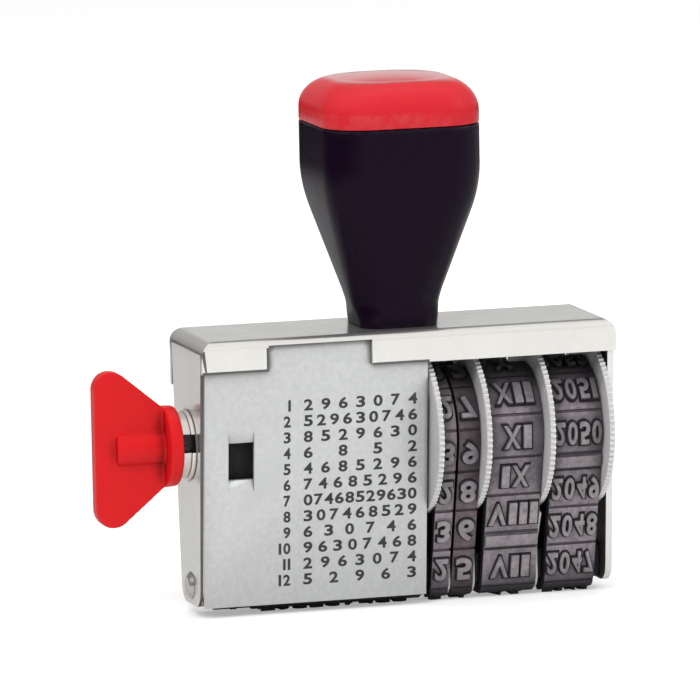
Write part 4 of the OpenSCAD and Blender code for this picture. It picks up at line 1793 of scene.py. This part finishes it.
@dataclass
class Bands:
    """The phrase band and the four date bands."""

    type_height: float = 3.3
    phrase_height: float = 2.5
    day_lap: float = 0.08
    bar: float = 2.4
    index_strip: float = 5.4
    printed_year: int = 2046
    tens: str = "3232323232123"
    units: str = "4568972309865"
    months: str = "VI VII VIII IX XI XII X I II III IV V VII"
    years: int = 13
    phrases: int = 12
    phrase_length: int = 9

    def build(self) -> None:
        """Builds every band, and then removes the patterns of their figures."""
        drum, high, lap = STAMP.drum_radius, self.type_height, -self.day_lap
        months = tuple(self.months.split())
        half = (self.years + 1) // 2
        years = tuple(str(self.printed_year + (i if i < half else i - self.years)) for i in range(self.years))
        phrases = tuple("".join(plain_figure(row, i) for i in range(self.phrase_length))
                        for row in range(self.phrases))
        for band in (TypeBand("day_tens_band", drum, tuple(self.tens), high, 1.9, margin=lap),
                     TypeBand("day_units_band", drum, tuple(self.units), high, 2.3, margin=lap,
                              bed_finish=DARK_BED),
                     TypeBand("month_band", drum, months, high, 2.6, bar_after=1, bar=self.bar),
                     TypeBand("year_band", drum, years, high, 1.6, bar_after=3, bar=self.bar),
                     TypeBand("phrase_band", STAMP.phrase_drum_radius, phrases, self.phrase_height, 2.1,
                              index_strip=self.index_strip)):
            band.build()
        for mesh in PATTERNS.values():
            bpy.data.meshes.remove(mesh)
        PATTERNS.clear()


@dataclass
class ThumbWheels:
    """Knurled thumb discs, with their drums inside the bands."""

    names: tuple[str, ...] = ("day_tens", "day_units", "month", "year")
    ease: float = 0.06
    tooth_angle: float = 20.0

    def build(self) -> None:
        """Builds the discs with eased teeth and dresses the drums."""
        for name in self.names:
            disc = Bench.eased_copy(name + "_disc", name + "_knurled", self.ease, 1, self.tooth_angle)
            Piece(disc, name + "_wheel", "nickel_steel", (name + "_disc",)).fit(RIM)
            DRUM.dress(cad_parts[name + "_drum"])


@dataclass
class Hardware:
    """CAD nodes that stay as they are and only get a finish."""

    steel: tuple[str, ...] = ("handle_screw", "handle_washer", "drive_shaft", "drum_pin", "retaining_ring",
                              "wheel_washers")
    oiled: tuple[str, ...] = ("bridge_bar", "band_stays", "collar_screw")
    moulded: tuple[str, ...] = ("phrase_drum",)

    def build(self) -> None:
        """Dresses the inner pieces."""
        for finish, names in ((STEEL, self.steel), (DARK_STEEL, self.oiled), (DRUM, self.moulded)):
            finish.dress(*(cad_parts[name] for name in names))


# Studio


@dataclass(frozen=True)
class Panel:
    """A soft light panel; its place and size are in metres and its power in watts."""

    name: str
    place: tuple[float, float, float]
    size: float
    power: float
    mirrored: bool = True

    def hang(self, aim: Vector) -> None:
        """Hangs the panel so that it faces a point.

        Args:
            aim: The point, in metres.
        """
        data = bpy.data.lights.new(self.name, "AREA")
        data.shape = "SQUARE"
        data.size = self.size
        data.energy = self.power
        lamp = bpy.data.objects.new(self.name, data)
        lamp.visible_glossy = self.mirrored
        lamp.location = self.place
        lamp.rotation_euler = (Vector(self.place) - aim).to_track_quat("Z", "Y").to_euler()
        bpy.context.scene.collection.objects.link(lamp)


@dataclass
class Studio:
    """Camera, pale floor and soft light.

    Polished faces see the floor and the surround in tones of their own. Each pair named _edge or _turn says
    where one tone goes over into the next: in metres on the floor, and as a part of the direction above it.
    """

    azimuth: float = -16.0
    elevation: float = 8.3
    roll: float = 1.15
    distance: float = 1200.0
    pixels_per_mm: float = 7.15
    image: float = 700.0
    aim_height: float = 38.0
    aim_right: float = -5.96
    aim_up: float = -2.45
    sensor: float = 36.0
    clip_end: float = 50.0
    floor_radius: float = 6.0
    floor_faces: int = 96
    floor_tone: float = 0.84
    floor_glow: float = 0.36
    front_floor: float = 1.0
    back_floor: float = 0.66
    dark_floor: float = 0.03
    front_edge: Span = (-0.05, 0.04)
    back_edge: Span = (0.32, 0.42)
    left_edge: Span = (-0.30, -0.16)
    surround: float = 0.42
    white: float = 1.0
    back_tone: float = 0.69
    back_left_tone: float = 0.03
    back_left_turn: Span = (-0.60, 0.10)
    front_turn: Span = (0.4, -0.5)
    left_tone: float = 0.05
    left_turn: Span = (-0.85, -0.45)
    high_back_tone: float = 0.22
    high_back_turn: Span = (0.45, 0.10)
    high_turn: Span = (0.24, 0.40)
    light_aim: float = 30.0
    panels: tuple[Panel, ...] = (
        Panel("key_panel", (-0.55, -0.75, 0.95), 0.7, 9.0, mirrored=False),
        Panel("fill_panel", (0.9, -0.6, 0.6), 0.8, 3.0),
        Panel("top_panel", (0.05, 0.25, 1.1), 0.8, 4.0, mirrored=False))

    def build_camera(self) -> None:
        """Places the camera as the photograph's was."""
        a, e, r = (math.radians(v) for v in (self.azimuth, self.elevation, self.roll))
        back = Vector((math.sin(a) * math.cos(e), -math.cos(a) * math.cos(e), math.sin(e)))
        right = Vector((math.cos(a), math.sin(a), 0.0))
        up = back.cross(right)
        across = right * math.cos(r) - up * math.sin(r)
        upward = right * math.sin(r) + up * math.cos(r)
        aim = Vector((0.0, 0.0, self.aim_height)) + across * self.aim_right + upward * self.aim_up
        data = bpy.data.cameras.new("photo_camera")
        data.sensor_width = self.sensor
        data.lens = self.pixels_per_mm * self.distance / self.image * self.sensor
        data.clip_end = self.clip_end
        camera = bpy.data.objects.new("photo_camera", data)
        turn = Matrix((across, upward, back)).transposed().to_4x4()
        camera.matrix_world = Matrix.Translation(mm(aim + back * self.distance)) @ turn
        bpy.context.scene.collection.objects.link(camera)
        bpy.context.scene.camera = camera

    def build_floor(self) -> None:
        """Lays a wide pale floor that the camera sees as white, with the object's shadow on it."""
        Bench.clear()
        bpy.ops.mesh.primitive_circle_add(vertices=self.floor_faces, radius=self.floor_radius,
                                          fill_type="NGON")
        floor = Bench.taken("floor")
        made = bpy.data.materials.new("pale_floor")
        t = Tree.of(made)
        path = t.node("LightPath").outputs
        spot = t.split(t.place())
        behind = t.fade(spot[1], self.back_edge, self.back_floor, self.dark_floor)
        mirrored = t.fade(spot[1], self.front_edge, self.front_floor, behind)
        mirrored = t.fade(spot[0], self.left_edge, self.dark_floor, mirrored)
        pale = t.between(path["Is Glossy Ray"], self.floor_tone, mirrored)
        lit = t.node("BsdfDiffuse", {"Color": t.node("CombineColor", {i: pale for i in range(3)}).outputs[0]})
        glow = t.node("Emission", {"Color": WHITE, "Strength": self.floor_glow})
        both = t.node("AddShader", {0: lit.outputs[0], 1: glow.outputs[0]})
        mix = t.node("MixShader", {0: path["Is Camera Ray"], 1: lit.outputs[0], 2: both.outputs[0]})
        t.node("OutputMaterial", {"Surface": mix.outputs[0]})
        floor.data.materials.append(made)

    def build_world(self) -> None:
        """Sets a soft surround: white to the camera, and to polished faces darker on the left and behind."""
        world = bpy.data.worlds.new("studio")
        bpy.context.scene.world = world
        t = Tree.of(world)
        path = t.node("LightPath").outputs
        way = t.split(t.node("TexCoord").outputs["Generated"])
        behind = t.fade(way[0], self.back_left_turn, self.back_left_tone, self.back_tone)
        horizon = t.fade(way[1], self.front_turn, behind, self.white)
        horizon = t.fade(way[0], self.left_turn, self.left_tone, horizon)
        above = t.fade(way[1], self.high_back_turn, self.high_back_tone, self.white)
        mirrored = t.fade(way[2], self.high_turn, horizon, above)
        strength = t.between(path["Is Glossy Ray"], self.surround, mirrored)
        seen = t.math("MAXIMUM", path["Is Camera Ray"], path["Is Transmission Ray"])
        strength = t.between(seen, strength, self.white)
        sky = t.node("Background", {"Color": WHITE, "Strength": strength})
        t.node("OutputWorld", {"Surface": sky.outputs[0]})

    def build(self) -> None:
        """Builds the whole studio."""
        bpy.context.scene.view_settings.view_transform = "Standard"
        self.build_camera()
        self.build_floor()
        self.build_world()
        for panel in self.panels:
            panel.hang(Vector((0.0, 0.0, mm(self.light_aim))))


def main() -> None:
    """Builds the stamp's looks in order."""
    logging.basicConfig(level=logging.INFO, format="%(name)s: %(message)s")
    Studio().build()
    for part in (Hardware(), FrameShell(), Grip(), WingKnob(), ThumbWheels(), Bands()):
        LOG.info("building %s", type(part).__name__)
        part.build()
    Bench.clear()


if __name__ == "__main__":
    main()
